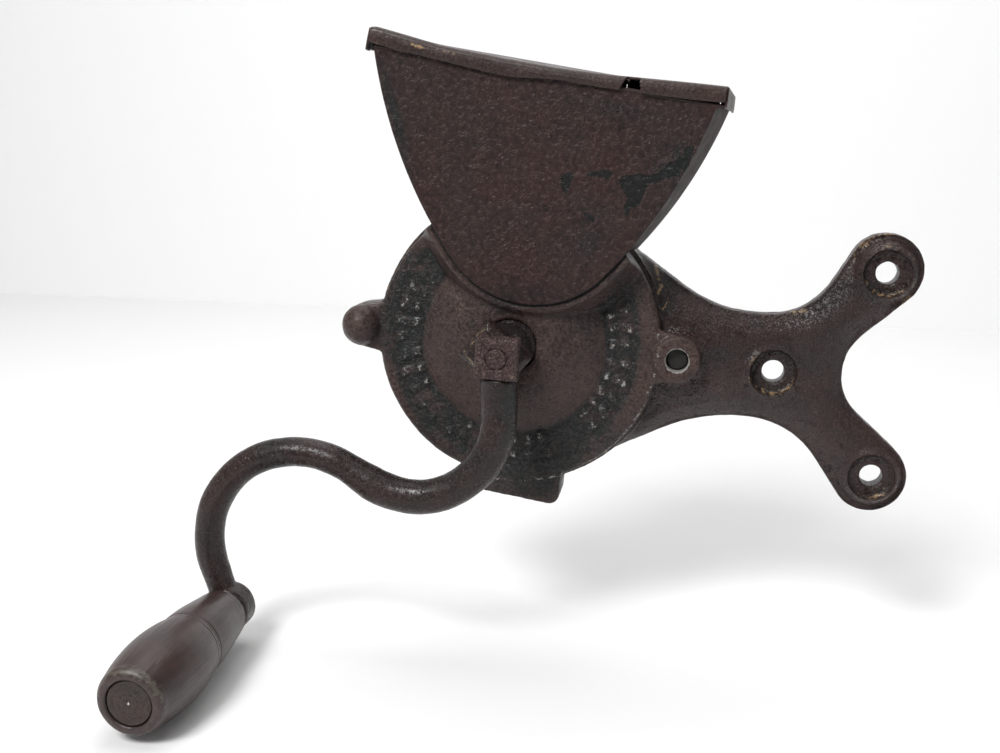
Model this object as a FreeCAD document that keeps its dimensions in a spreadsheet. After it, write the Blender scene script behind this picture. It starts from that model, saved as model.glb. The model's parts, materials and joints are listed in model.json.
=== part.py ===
import FreeCAD, Part
import math
import os
import Sketcher

# A wall-hung cast-iron side mill for coffee: a dished back casting whose neck forks into
# two screw lobes, a round front cover, a tin hopper with a hinged lid, a pair of flat
# burrs, and a forged crank with a turned wooden grip.
#
# Every sub-part is drawn in the mill's own frame and then stood up by its Placement:
# x runs towards the wall bracket, y runs up, and z is the distance forward of the wall.
# The frame's origin is on the shaft axis at the wall plane. After Placement +Z is up,
# the wall is the plane Y = 0, the mill stands in -Y, and the origin is the middle wall hole.

doc = FreeCAD.newDocument("side_mill")
Vector = FreeCAD.Vector

# Driving dimensions, in millimetres and degrees

SIZES = [
    ("shaft_reach", 101.5, "shaft axis to the middle wall hole, sideways"),
    ("shaft_lift", 9.5, "shaft axis above the bracket's centre line"),
    ("wall_hole_bore", 8.6, "wall screw holes"),
    ("wall_recess_bore", 18.0, "sunk seat round each wall hole"),
    ("wall_recess_depth", 3.0, ""),
    ("hole_rise", 40.0, "outer wall holes above and below the middle one"),
    ("hole_reach", 40.0, "outer wall holes beyond the middle one"),
    ("lobe_radius", 14.2, ""),
    ("lobe_in", 0.5, "the lobes' rounds lie nearer the shaft than their screw holes"),
    ("lobe_out", 0.6, "and further from the middle hole's line"),
    ("arm_depth", 12.0, "bracket arms, wall face to front face"),
    ("arm_round", 5.5, "rounding of the arms' front edges"),
    ("waist_above", 22.6, "neck's waist above the middle hole"),
    ("waist_below", 18.9, "and below it"),
    ("fork_top_start", 2.5, "start of the curve from the waist into the upper arm, before the middle hole"),
    ("fork_top_radius", 26.5, ""),
    ("fork_low_start", 11.0, "start of the curve into the lower arm"),
    ("fork_low_radius", 35.0, ""),
    ("crotch_reach", 26.3, "middle hole to the crotch of the fork"),
    ("crotch_radius", 21.0, ""),
    ("neck_top_run", 3.5, "straight stretch of the waist's upper edge"),
    ("neck_low_run", 2.0, "and of its lower edge"),
    ("neck_top_turn", 35.7, "slope of the neck's upper edge where it meets the dish"),
    ("neck_low_turn", 26.0, "slope of its lower edge there"),
    ("neck_top_pass", 55.9, "the upper edge passes the disc's centre at this distance"),
    ("neck_low_pass", 57.0, "the lower edge passes it at this one"),
    ("neck_crown", 18.5, "height of the neck's arched front where it meets the dish"),
    ("hump_root", 41.8, "how far from the shaft the arched front starts, inside the dish"),
    ("hump_above", 28.0, "the arch above the wall holes, halfway along the neck"),
    ("hump_below", 22.8, "the arch below them"),
    ("hump_middle", 16.2, "height of the arch halfway along the neck"),
    ("hump_end", 11.0, "height of the arch past the middle wall hole"),
    ("dish_radius", 58.0, ""),
    ("disc_shift", 1.5, "the castings' round outline lies this far from the shaft, towards the bracket"),
    ("dish_depth", 16.0, "wall plane to the joint with the cover"),
    ("dish_floor", 3.5, ""),
    ("dish_bevel", 3.0, ""),
    ("chamber_clear", 3.0, "round hollow that the burrs turn in, outside them"),
    ("lug_back", 2.0, "ears and spout stand off the wall"),
    ("spout_half", 22.0, ""),
    ("spout_draft", 3.0, "each side of the spout draws in towards its mouth"),
    ("spout_reach", 64.0, "spout mouth below the shaft axis"),
    ("spout_round", 4.0, "rounding of the spout's lower corners"),
    ("spout_wall", 4.0, ""),
    ("spout_slope", 7.0, "slope of the spout's lower edge"),
    ("chute_step", 1.0, "the spout's floor in front of the dish's"),
    ("cover_radius", 56.5, ""),
    ("cover_rim", 5.0, "cover thickness at its rim"),
    ("cover_round", 2.2, ""),
    ("neck_clear", 1.2, "between the neck and the cover's edge"),
    ("cover_wall", 4.0, "thickness of the cover's dome"),
    ("band_outer", 49.5, "rough band round the cover, outer radius"),
    ("band_inner", 36.0, ""),
    ("band_lip", 0.5, "step between the dome and the band"),
    ("band_sink", 0.6, ""),
    ("dome_rise", 8.0, "shaft boss above the cover's rim"),
    ("dome_top_radius", 15.0, "flat round the shaft hole"),
    ("dome_bow", 44.4, "radius of the dome's swelling profile"),
    ("dome_hollow_radius", 29.5, "bean chamber behind the dome"),
    ("hollow_bow", 24.4, "radius of the bean chamber's profile"),
    ("hollow_lip", 0.5, "straight edge of the bean chamber"),
    ("bearing_length", 10.0, "length of the front bearing"),
    ("bearing_boss_radius", 14.5, "front bearing where it stands in the bean chamber"),
    ("ear_turn", 3.8, "the ears' line falls towards the bracket"),
    ("ear_left", 62.6, ""),
    ("ear_right", 64.6, ""),
    ("ear_ball_radius", 8.3, "closed ear"),
    ("ear_ball_back", 2.0, "middle of the ear's ball behind the cover's face"),
    ("ear_boss_radius", 9.1, "open ear"),
    ("ear_web", 12.0, "half width of an ear's web at the disc"),
    ("ear_web_run", 18.3, "an ear's web, from the middle of the ear in to the disc"),
    ("ear_web_sunk", 0.4, "the web behind the cover's face"),
    ("ear_rise", 1.6, "open ear above the cover's rim"),
    ("cover_screw_bore", 8.6, ""),
    ("cover_screw_head", 12.4, ""),
    ("cover_screw_head_depth", 3.0, ""),
    ("cover_screw_sunk", 2.5, "screw heads below the back of the castings"),
    ("cover_screw_short", 3.2, "screw end below the open ear's face"),
    ("cover_screw_blind", 1.0, "the other screw's end behind the cover's face"),
    ("cover_screw_point", 0.7, "bevel of the screws' ends"),
    ("slot_width", 1.6, ""),
    ("slot_depth", 1.3, ""),
    ("hopper_foot_x", 5.9, "lowest point of the hopper's front plate"),
    ("hopper_foot_y", 17.0, ""),
    ("hopper_foot_z", 31.8, "front plate's back face at its foot"),
    ("hopper_lean", 5.1, "the hopper's middle line leans towards the bracket"),
    ("hopper_tilt", 3.7, "the front plate tips forward"),
    ("hopper_nose", 37.0, "radius of the plate's foot"),
    ("hopper_turn", 50.8, "angle that the foot's arc covers on each side"),
    ("hopper_side", 175.0, "radius of the plate's long sides"),
    ("hopper_height", 84.9, "foot to rim along the middle line"),
    ("rim_slope", 9.5, "the rim falls towards the bracket"),
    ("hopper_flare", 2.6, "how much less the back outline turns"),
    ("hopper_grow", 1.9, "back outline outside the front one"),
    ("tin", 1.0, "sheet thickness"),
    ("hopper_back_z", 0.6, "back of the hopper off the wall"),
    ("floor_clear", 1.0, "hopper's sloping floor above the castings' round edge"),
    ("floor_rise", 15.0, "height that the floor climbs"),
    ("ledge_wall", 3.0, "cast wall round the hopper's foot"),
    ("ledge_flare", 7.0, "spread of that wall down to the disc"),
    ("ledge_root", 2.0, "how deep that wall is rooted in the cover"),
    ("ledge_lap", 2.2, "how far the ledge reaches in behind the plate"),
    ("lid_rise", 6.0, "underside of the lid above the rim, at its front corners"),
    ("lid_rise_back", 4.4, "underside of the lid above the rim, at its hinge"),
    ("lid_lap", 1.0, "lid's side flanges below the rim"),
    ("lid_lip", 0.8, "front flange's lower edge above the rim, at its ends"),
    ("lid_sag", 3.0, "dip in the middle of the lid's front"),
    ("lid_gap", 0.4, "between the lid and the hopper"),
    ("rim_wire_bore", 1.6, "wire in the front plate's top edge"),
    ("rim_wire_end", 2.6, "wire end standing past the plate"),
    ("rim_wire_short", 0.5, "other end of the wire inside the plate's edge"),
    ("hinge_wire_bore", 1.7, ""),
    ("hinge_curl", 3.5, "outside of the rolled sheet on the hinge wire"),
    ("hinge_end", 3.0, "hinge stops short of the side sheets"),
    ("hinge_share", 0.28, "each lid roll's share of the hinge"),
    ("roll_gap", 0.4, "between the rolls along the wire"),
    ("burr_radius", 40.0, ""),
    ("burr_eye_radius", 21.0, "fixed burr's opening"),
    ("fixed_burr_depth", 3.8, ""),
    ("burr_gap", 0.4, "between the burr faces"),
    ("turning_burr_depth", 6.6, ""),
    ("tooth_depth", 1.2, ""),
    ("tooth_width", 3.4, ""),
    ("tooth_count", 24, "cutting ridges on each burr"),
    ("tooth_skew", 12.0, "ridges lean off the radius"),
    ("burr_hub_radius", 9.6, ""),
    ("burr_recess_clear", 1.0, "turning burr's recess outside the rear boss"),
    ("wing_radius", 18.5, "bean-breaking wings on the hub"),
    ("wing_taper", 2.0, "how much less the wings reach at their front"),
    ("wing_count", 4, ""),
    ("wing_width", 3.2, ""),
    ("wing_twist", 35.0, ""),
    ("burr_pin_bore", 3.0, ""),
    ("burr_pin_short", 0.4, "pin's ends inside the hub"),
    ("burr_screw_shift", 2.0, "burr screws outside the middle of the burr's face"),
    ("burr_screw_radius", 1.9, ""),
    ("burr_screw_head_radius", 3.3, ""),
    ("burr_screw_head_depth", 1.5, ""),
    ("screw_cover", 1.6, "metal left in front of a blind screw hole"),
    ("running_gap", 0.06, "radial clearance of shaft, spindle and grip"),
    ("fit_gap", 0.1, "clearance of what doesn't turn"),
    ("rear_journal_radius", 5.0, ""),
    ("rear_boss_radius", 10.0, ""),
    ("rear_boss_depth", 8.4, "front of the rear boss from the wall"),
    ("shaft_seat_radius", 6.0, "shaft in the turning burr"),
    ("journal_radius", 10.3, "shaft in the cover"),
    ("journal_sunk", 0.8, "journal's end behind the dome's face"),
    ("journal_bevel", 1.2, "length of the bevel down to the shaft's neck"),
    ("shaft_neck_radius", 8.6, "shaft between cover and crank"),
    ("square_side", 9.6, "squared end that carries the crank"),
    ("square_short", 1.0, "squared end behind the hub's face"),
    ("stud_radius", 3.9, "screwed end"),
    ("adjuster_radius", 4.6, ""),
    ("adjuster_length", 3.6, ""),
    ("adjuster_sunk", 0.5, "slotted face below the back of the dish"),
    ("thrust_disc_depth", 0.8, ""),
    ("crank_plane", 49.5, "middle of the crank arm from the wall"),
    ("hub_back", 43.0, "back of the crank's squared hub from the wall"),
    ("hub_width", 17.6, "squared block on the crank"),
    ("hub_length", 21.8, ""),
    ("hub_depth", 9.0, ""),
    ("arm_clear", 0.3, "between the arm's root and the nut and the shaft's neck"),
    ("hub_bevel", 2.2, ""),
    ("hub_turn", 50.5, "the hub stands on its corner"),
    ("hub_shift", 1.8, "the hub is forged off its square hole, away from the bracket"),
    ("hub_drop", 0.5, ""),
    ("nut_side", 16.2, ""),
    ("nut_depth", 5.4, ""),
    ("nut_turn", 3.0, ""),
    ("nut_bevel", 0.9, ""),
    ("stud_end", 0.5, "stud standing out of the nut"),
    ("rod_root_radius", 7.4, "arm at the hub"),
    ("rod_first_radius", 6.8, "arm round its first bend"),
    ("rod_second_radius", 5.9, "arm round its second bend"),
    ("rod_tip_radius", 5.2, "arm at the eye"),
    ("arm_drop", 23.5, "straight stretch below the hub"),
    ("bend_one", 33.7, "first bend, radius"),
    ("rise_turn", 29.7, "slope of the stretch between the bends"),
    ("arm_run", 11.1, "straight stretch between the bends"),
    ("bend_two", 39.3, "second bend, radius"),
    ("bend_two_turn", 137.6, ""),
    ("arm_tail", 17.4, "straight stretch before the eye"),
    ("eye_radius", 9.7, ""),
    ("eye_depth", 11.4, ""),
    ("eye_bevel", 1.4, ""),
    ("grip_length", 76.0, ""),
    ("grip_base_radius", 10.4, "collar at the crank end"),
    ("grip_mouth", 0.9, "bevel of the collar's edge"),
    ("grip_collar", 3.8, "length of the collar"),
    ("grip_step", 0.9, "length of the step from collar to barrel"),
    ("grip_neck_radius", 11.0, "barrel at that step"),
    ("grip_shoulder_radius", 11.7, "barrel where its long curve starts"),
    ("grip_shoulder", 11.4, "that place, from the crank end"),
    ("grip_bow", 95.0, "radius of the curve from there to the turned lines"),
    ("grip_belly_radius", 13.5, "barrel at the turned lines"),
    ("grip_line_one", 30.5, "first turned line, from the crank end"),
    ("grip_line_two", 33.6, "second turned line"),
    ("grip_line_half", 0.5, "half width of a turned line"),
    ("grip_line", 0.5, "depth of the turned lines"),
    ("grip_bow_end", 76.0, "radius of the curve from the lines to the end"),
    ("grip_end_radius", 12.8, "barrel where its end is rounded off"),
    ("grip_end_round", 3.4, "length of the rounded end"),
    ("grip_end_bow", 6.0, "radius of that rounding's profile"),
    ("grip_face_radius", 10.3, "flat end of the barrel"),
    ("grip_play", 0.4, "between washer and grip"),
    ("spindle_radius", 4.0, ""),
    ("spindle_head_radius", 8.4, ""),
    ("spindle_head_depth", 2.0, ""),
    ("spindle_head_sunk", 0.6, "head below the grip's end"),
    ("spindle_peen", 2.0, "peened end behind the eye"),
    ("spindle_rivet_radius", 5.4, "the peened end"),
    ("spindle_rivet_bevel", 1.5, "length of its bevel"),
    ("washer_radius", 9.0, ""),
    ("washer_depth", 1.0, ""),
]

sizes = doc.addObject("Spreadsheet::Sheet", "Sizes")
for row, (alias, value, note) in enumerate(SIZES, start=1):
    sizes.set("A%d" % row, alias)
    sizes.set("B%d" % row, str(value))
    sizes.set("C%d" % row, note)
    sizes.setAlias("B%d" % row, alias)
doc.recompute()


def size(alias):
    """The number in the sheet's cell of that name."""
    return float(getattr(sizes, alias))


def radians(alias):
    return math.radians(size(alias))


subparts = []


def place(thing, label):
    """Name a finished sub-part, stand it up and tie its place to the sheet."""
    thing.Label = label
    base = Vector(-size("shaft_reach"), 0, size("shaft_lift"))
    thing.Placement = FreeCAD.Placement(base, FreeCAD.Rotation(Vector(1, 0, 0), 90))
    thing.setExpression("Placement.Base.x", "-Sizes.shaft_reach")
    thing.setExpression("Placement.Base.z", "Sizes.shaft_lift")
    subparts.append(thing)
    return thing


def settled(shape):
    """The same shape with its own turn and shift worked into its faces."""
    matrix = shape.Placement.toMatrix()
    still = shape.copy()
    still.Placement = FreeCAD.Placement()
    return still.transformed(matrix, copy=True)


def shape_part(label, shape):
    """A sub-part whose faces no sketch feature can make."""
    thing = doc.addObject("Part::Feature", label)
    thing.Shape = settled(shape)
    return place(thing, label)


# Sketch helpers

def new_body(label):
    return doc.addObject("PartDesign::Body", label)


def origin_plane(body, role):
    for feature in body.Origin.OriginFeatures:
        if feature.Role == role:
            return feature
    raise ValueError(role)


def new_sketch(body, role, name, lift=None):
    sketch = body.newObject("Sketcher::SketchObject", name)
    sketch.AttachmentSupport = [(origin_plane(body, role), "")]
    sketch.MapMode = "FlatFace"
    if lift is not None:
        sketch.setExpression("AttachmentOffset.Base.z", lift)
    return sketch


def value_of(expression):
    """Evaluate a sheet expression such as 'Sizes.tin * 2'."""
    return float(sizes.evalExpression(expression.replace("Sizes.", "")))


def bulged(a, b, radius):
    """Middle of the arc from a to b; a positive radius bulges to the right of the way a to b."""
    chord = b - a
    half = chord.Length / 2
    sagitta = abs(radius) - math.sqrt(radius ** 2 - half ** 2)
    right = Vector(chord.y, -chord.x, 0).normalize()
    return (a + b) / 2 + right * math.copysign(sagitta, radius)


def closed_profile(sketch, corners):
    """Closed outline; each corner is (x, y) or (x, y, radius of the arc to the next corner).

    Coordinates and radii are expressions of the sheet.
    """
    points = [Vector(value_of(corner[0]), value_of(corner[1]), 0) for corner in corners]
    count = len(points)
    for i, corner in enumerate(corners):
        a, b = points[i], points[(i + 1) % count]
        if len(corner) == 2:
            sketch.addGeometry(Part.LineSegment(a, b), False)
            continue
        middle = bulged(a, b, value_of(corner[2]))
        if (b - a).cross(middle - a).z > 0:
            a, b = b, a
        sketch.addGeometry(Part.Arc(a, middle, b), False)
    for i in range(count):
        following = (i + 1) % count
        sketch.addConstraint(Sketcher.Constraint("Coincident", i, end_at(sketch, i, points[following]),
                                                 following, end_at(sketch, following, points[following])))
    for i, corner in enumerate(corners):
        end = end_at(sketch, i, points[i])
        for kind, axis, expression, number in (("DistanceX", -2, corner[0], points[i].x),
                                               ("DistanceY", -1, corner[1], points[i].y)):
            if abs(number) < 1e-9:
                sketch.addConstraint(Sketcher.Constraint("PointOnObject", i, end, axis))
                continue
            index = sketch.addConstraint(Sketcher.Constraint(kind, -1, 1, i, end, number))
            sketch.setExpression("Constraints[%d]" % index, expression)
        if len(corner) == 3:
            index = sketch.addConstraint(Sketcher.Constraint("Radius", i, abs(value_of(corner[2]))))
            sketch.setExpression("Constraints[%d]" % index, corner[2].lstrip("-"))
    return sketch


def end_at(sketch, index, point):
    """Which end of a sketch's curve, 1 or 2, lies at the point: arcs always run anticlockwise."""
    if (sketch.Geometry[index].StartPoint - point).Length < 1e-6:
        return 1
    return 2


def round_profile(sketch, radius, centre=("0", "0")):
    """A circle whose radius and centre are expressions of the sheet."""
    x, y = value_of(centre[0]), value_of(centre[1])
    index = sketch.addGeometry(Part.Circle(Vector(x, y, 0), Vector(0, 0, 1), value_of(radius)), False)
    constraint = sketch.addConstraint(Sketcher.Constraint("Radius", index, value_of(radius)))
    sketch.setExpression("Constraints[%d]" % constraint, radius)
    if abs(x) < 1e-9 and abs(y) < 1e-9:
        sketch.addConstraint(Sketcher.Constraint("Coincident", index, 3, -1, 1))
        return index
    for kind, expression, number in (("DistanceX", centre[0], x), ("DistanceY", centre[1], y)):
        constraint = sketch.addConstraint(Sketcher.Constraint(kind, -1, 1, index, 3, number))
        sketch.setExpression("Constraints[%d]" % constraint, expression)
    return index


def revolve(body, name, corners, kind="PartDesign::Revolution"):
    """Turn a profile of (radius, forward) corners about the forward axis."""
    sketch = new_sketch(body, "XZ_Plane", name + "_profile")
    closed_profile(sketch, corners)
    feature = body.newObject(kind, name)
    feature.Profile = sketch
    feature.ReferenceAxis = (sketch, ["V_Axis"])
    feature.Angle = 360
    sketch.Visibility = False
    body.Tip = feature
    doc.recompute()


# Plain solids for the castings and sheet pieces

def rod(radius, start, stop, x=0.0, y=0.0):
    """Round bar along the forward axis from start to stop."""
    return Part.makeCylinder(radius, stop - start, Vector(x, y, start), Vector(0, 0, 1))


def slab(x0, x1, y0, y1, z0, z1):
    return Part.makeBox(x1 - x0, y1 - y0, z1 - z0, Vector(x0, y0, z0))


def extrude_wire(wire, start, stop):
    face = Part.Face(wire)
    face.translate(Vector(0, 0, start))
    return face.extrude(Vector(0, 0, stop - start))


def polar(radius, degrees, x=0.0, y=0.0):
    angle = math.radians(degrees)
    return Vector(x + radius * math.cos(angle), y + radius * math.sin(angle), 0)


def arc(a, b, c):
    return Part.Arc(a, b, c).toShape()


def line(a, b):
    return Part.LineSegment(a, b).toShape()


# The bracket's outline, tangent arcs about the middle wall hole

HOLE_X = size("shaft_reach")
HOLE_Y = -size("shaft_lift")


DISC_X = size("disc_shift")


def wall_hole_places():
    rise, reach = size("hole_rise"), size("hole_reach")
    return [(HOLE_X, HOLE_Y), (HOLE_X + reach, HOLE_Y + rise), (HOLE_X + reach, HOLE_Y - rise)]


def arm_edge(hollow, radius, lobe, way):
    """Ends of the straight edge that touches a hollow curve and a lobe, one on either side of it.

    way is +1 where the edge turns left of the line from the curve's centre to the lobe's, else -1.
    """
    apart = lobe - hollow
    heading = math.atan2(apart.y, apart.x)
    heading += way * math.asin((radius + size("lobe_radius")) / apart.Length)
    inward = Vector(math.sin(heading), -math.cos(heading), 0) * way
    return hollow + inward * radius, lobe - inward * size("lobe_radius")


def short_arc(centre, a, b):
    """The shorter arc from a to b about a centre."""
    middle = ((a - centre).normalize() + (b - centre).normalize()).normalize() * (a - centre).Length
    return arc(a, centre + middle, b)


def neck_edge(way, root, turn, reach):
    """The neck's edge from the disc to the level waist, which starts at root.

    A straight run slopes at turn and passes the disc's centre at reach, and an arc brings it level.
    """
    disc = Vector(DISC_X - HOLE_X, -HOLE_Y, 0)
    heading = Vector(-math.cos(turn), way * math.sin(turn), 0)
    nearest = disc + Vector(math.sin(turn), way * math.cos(turn), 0) * reach
    corner = nearest - heading * ((nearest.y - root.y) / heading.y)
    along = root.x - corner.x
    leave = corner + heading * along
    centre = root + Vector(0, way * along / math.tan(turn / 2), 0)
    return [line(disc, nearest), line(nearest, leave), short_arc(centre, leave, root)]


def arm_outline(way, waist, radius):
    """The edge from the waist out along an arm, round its lobe and back to the crotch, all tangent."""
    lobe = Vector(size("hole_reach") - size("lobe_in"), way * (size("hole_rise") + size("lobe_out")), 0)
    fork = waist + Vector(0, way * radius, 0)
    crotch_radius = size("crotch_radius")
    crotch = Vector(size("crotch_reach") + crotch_radius, 0, 0)
    fork_end, lobe_start = arm_edge(fork, radius, lobe, way)
    crotch_end, lobe_end = arm_edge(crotch, crotch_radius, lobe, -way)
    tip = lobe + Vector(1, way, 0).normalize() * size("lobe_radius")
    bottom = Vector(size("crotch_reach"), 0, 0)
    return [short_arc(fork, waist, fork_end), line(fork_end, lobe_start), arc(lobe_start, tip, lobe_end),
            line(lobe_end, crotch_end), short_arc(crotch, crotch_end, bottom)]


def bracket_outline():
    """Neck, fork and lobes about the middle wall hole, closed through the disc's centre."""
    edges = []
    for way, half, start, radius, run, turn, reach in (
            (1, size("waist_above"), size("fork_top_start"), size("fork_top_radius"),
             size("neck_top_run"), radians("neck_top_turn"), size("neck_top_pass")),
            (-1, size("waist_below"), size("fork_low_start"), size("fork_low_radius"),
             size("neck_low_run"), radians("neck_low_turn"), size("neck_low_pass"))):
        waist = Vector(-start, way * half, 0)
        root = waist - Vector(run, 0, 0)
        edges += neck_edge(way, root, turn, reach) + [line(root, waist)] + arm_outline(way, waist, radius)
    wire = Part.Wire(Part.__sortEdges__(edges))
    wire.translate(Vector(HOLE_X, HOLE_Y, 0))
    return wire


def crowned_section(x, low, high, crown):
    """Closed section across the neck: flat on the wall, arched towards the front."""
    foot = Vector(x, low, 0)
    head = Vector(x, high, 0)
    top = Vector(x, (low + high) / 2, crown)
    return Part.Wire([arc(foot, top, head), line(head, foot)])


def neck_hump():
    """The neck's arched front, falling from the dish to the middle wall hole."""
    root = size("hump_root")
    near = crowned_section(root, -root, root, size("neck_crown"))
    middle = crowned_section((size("dish_radius") + HOLE_X) / 2, HOLE_Y - size("hump_below"),
                             HOLE_Y + size("hump_above"), size("hump_middle"))
    far = crowned_section(HOLE_X + size("wall_recess_bore"), HOLE_Y - size("waist_below"),
                          HOLE_Y + size("waist_above"), size("hump_end"))
    return Part.makeLoft([near, middle, far], True, False)


# The spout, a short chute below the disc whose lower edge slopes

CHAMBER = size("burr_radius") + size("chamber_clear")
# cuts start and end this far outside the face that they open
PAST = 1.0


def spout_block(start, stop, half, reach, inset=0.0, corner=0.0):
    """Block below the shaft from start to stop, its lower edge sloped and its corners rounded."""
    slope = math.tan(radians("spout_slope"))
    top = 2 * size("spout_wall") - CHAMBER
    corners = [Vector(-half, top, 0), Vector(-half + inset, -reach + half * slope, 0),
               Vector(half - inset, -reach - half * slope, 0), Vector(half, top, 0)]
    block = extrude_wire(Part.makePolygon(corners + corners[:1]), start, stop)
    if corner > 0:
        upright = [edge for edge in block.Edges if edge.BoundBox.ZLength > (stop - start) / 2
                   and edge.BoundBox.YMax < top - corner]
        block = block.makeFillet(corner, upright)
    return block


def ear_place(side):
    """Centre of an ear; side is -1 for the closed ear, +1 for the one by the bracket."""
    reach = size("ear_right") if side > 0 else size("ear_left")
    turn = radians("ear_turn")
    return side * reach * math.cos(turn), -side * reach * math.sin(turn)


def ear_web(side, radius, start, stop, spread=0.0):
    """Tapered web from the disc out to an ear, with the ear's round end, widened by spread."""
    x, y = ear_place(side)
    reach = math.hypot(x, y)
    angle = math.degrees(math.atan2(y, x))
    root = reach - size("ear_web_run")
    web = size("ear_web") + spread
    radius = radius + spread
    corners = [Vector(root, -web, 0), Vector(reach, -radius, 0), Vector(reach, radius, 0),
               Vector(root, web, 0)]
    plate = extrude_wire(Part.makePolygon(corners + corners[:1]), start, stop)
    plate.rotate(Vector(0, 0, 0), Vector(0, 0, 1), angle)
    return plate.fuse(rod(radius, start, stop, x, y))


def in_plane(edge, z):
    box = edge.BoundBox
    return abs(box.ZMin - z) < 1e-4 and abs(box.ZMax - z) < 1e-4


def back_casting():
    arm_depth = size("arm_depth")
    depth = size("dish_depth")
    plate = extrude_wire(bracket_outline(), 0, arm_depth)
    # the two lines that close the outline start at the disc's centre, inside the dish
    outer = [edge for edge in plate.Edges if in_plane(edge, arm_depth) and edge.BoundBox.XMin > DISC_X + PAST]
    plate = plate.makeFillet(size("arm_round"), outer)
    hump = neck_hump().common(extrude_wire(bracket_outline(), 0, depth * 2))
    dish = rod(size("dish_radius"), 0, depth, DISC_X)
    dish = dish.makeChamfer(size("dish_bevel"), [edge for edge in dish.Edges if in_plane(edge, 0)])
    body = dish.fuse([plate, hump])
    for side in (-1, 1):
        body = body.fuse(ear_web(side, size("ear_ball_radius"), size("lug_back"), depth))
    body = body.fuse(spout_block(size("lug_back"), depth, size("spout_half"), size("spout_reach"),
                                 size("spout_draft"), size("spout_round")))
    # the burr chamber and the chute below it, which runs out through the spout's mouth
    chamber = rod(CHAMBER, size("dish_floor"), depth + PAST)
    chute = spout_block(size("dish_floor") + size("chute_step"), depth + PAST,
                        size("spout_half") - size("spout_wall"), size("spout_reach") + size("spout_half"))
    body = body.cut(chamber.fuse(chute))
    # front part of the neck stays behind the cover
    clear = size("neck_clear")
    body = body.cut(rod(size("cover_radius") + clear, depth, depth * 2, DISC_X))
    body = body.cut(ear_web(1, size("ear_boss_radius"), depth, depth * 2, clear))
    # rear bearing boss
    body = body.fuse(rod(size("rear_boss_radius"), size("dish_floor") / 2, size("rear_boss_depth")))
    for x, y in wall_hole_places():
        body = body.cut(rod(size("wall_hole_bore") / 2, -PAST, depth * 2, x, y))
        seat = arm_depth - size("wall_recess_depth")
        body = body.cut(rod(size("wall_recess_bore") / 2, seat, depth * 2, x, y))
    body = body.cut(rod(size("adjuster_radius") + size("running_gap"), -PAST,
                        size("adjuster_length") + size("adjuster_sunk")))
    body = body.cut(rod(size("rear_journal_radius") + size("running_gap"),
                        size("adjuster_length") + size("adjuster_sunk"), depth))
    for side in (-1, 1):
        x, y = ear_place(side)
        body = body.cut(rod(size("cover_screw_bore") / 2 + size("fit_gap"), -PAST, depth + PAST, x, y))
        body = body.cut(rod(size("cover_screw_head") / 2 + size("fit_gap"), -PAST,
                            size("cover_screw_head_depth") + size("cover_screw_sunk"), x, y))
    return body.removeSplitter()


shape_part("back_casting", back_casting())


# The hopper's outline: a round foot, two long bowed sides and a sloping rim

def hopper_wire(grow=0.0, flare=0.0, rise=0.0):
    """Shield outline in the z = 0 plane, grown outwards, its rim raised by rise."""
    nose = size("hopper_nose") + grow
    side = size("hopper_side") + grow
    turn = radians("hopper_turn") - math.radians(flare)
    lean = radians("hopper_lean")
    slope = radians("rim_slope") - lean
    height = size("hopper_height") + rise
    centre_y = size("hopper_nose")
    # side arcs continue the foot's arc, so their centres lie on the same line
    cx = -(side - nose) * math.sin(turn)
    cy = centre_y + (side - nose) * math.cos(turn)
    join = Vector(nose * math.sin(turn), centre_y - nose * math.cos(turn), 0)

    def rim_point(sign):
        # meets the rim line y = height - x tan(slope) with the side arc
        centre = Vector(sign * cx, cy, 0)
        along = Vector(math.cos(slope), -math.sin(slope), 0)
        start = Vector(0, height, 0) - centre
        middle = start.dot(along)
        root = math.sqrt(middle ** 2 - (start.dot(start) - side ** 2))
        distance = -middle + sign * root
        return Vector(0, height, 0) + along * distance

    def side_middle(sign, tip):
        centre = Vector(sign * cx, cy, 0)
        near = Vector(sign * join.x, join.y, 0)
        toward = ((near - centre) + (tip - centre)).normalize()
        return centre + toward * side

    left_tip, right_tip = rim_point(-1), rim_point(1)
    left_join = Vector(-join.x, join.y, 0)
    foot = Vector(0, centre_y - nose, 0)
    edges = [arc(left_tip, side_middle(-1, left_tip), left_join),
             arc(left_join, foot, join),
             arc(join, side_middle(1, right_tip), right_tip),
             line(right_tip, left_tip)]
    wire = Part.Wire(edges)
    wire.rotate(Vector(0, 0, 0), Vector(0, 0, 1), -size("hopper_lean"))
    wire.translate(Vector(size("hopper_foot_x"), size("hopper_foot_y"), 0))
    return wire


def tip_forward(shape, z):
    """Stand an outline on the tilted front plane, z in front of the wall at its foot."""
    copy = shape.copy()
    copy.rotate(Vector(0, size("hopper_foot_y"), 0), Vector(1, 0, 0), size("hopper_tilt"))
    copy.translate(Vector(0, 0, z))
    return copy


def hopper_volume(inset, z_front, z_back, rise):
    """Solid between the tilted front outline and the wider back outline."""
    front = tip_forward(hopper_wire(-inset, 0, rise), z_front)
    back = hopper_wire(size("hopper_grow") - inset, size("hopper_flare"), rise)
    back.translate(Vector(0, 0, z_back))
    return Part.makeLoft([back, front], True, True)


def rim_frame():
    """Rim line: its middle point at the front plate, its direction and its normal."""
    lean = radians("hopper_lean")
    slope = radians("rim_slope")
    foot = Vector(size("hopper_foot_x"), size("hopper_foot_y"), 0)
    middle = foot + Vector(math.sin(lean), math.cos(lean), 0) * size("hopper_height")
    along = Vector(math.cos(slope), -math.sin(slope), 0)
    up = Vector(math.sin(slope), math.cos(slope), 0)
    return middle, along, up


TIN = size("tin")
PLATE_Z = size("hopper_foot_z")
BACK_Z = size("hopper_back_z")
COVER_FRONT = size("dish_depth") + size("cover_rim")
AHEAD = 2 * size("hub_back")


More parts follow.
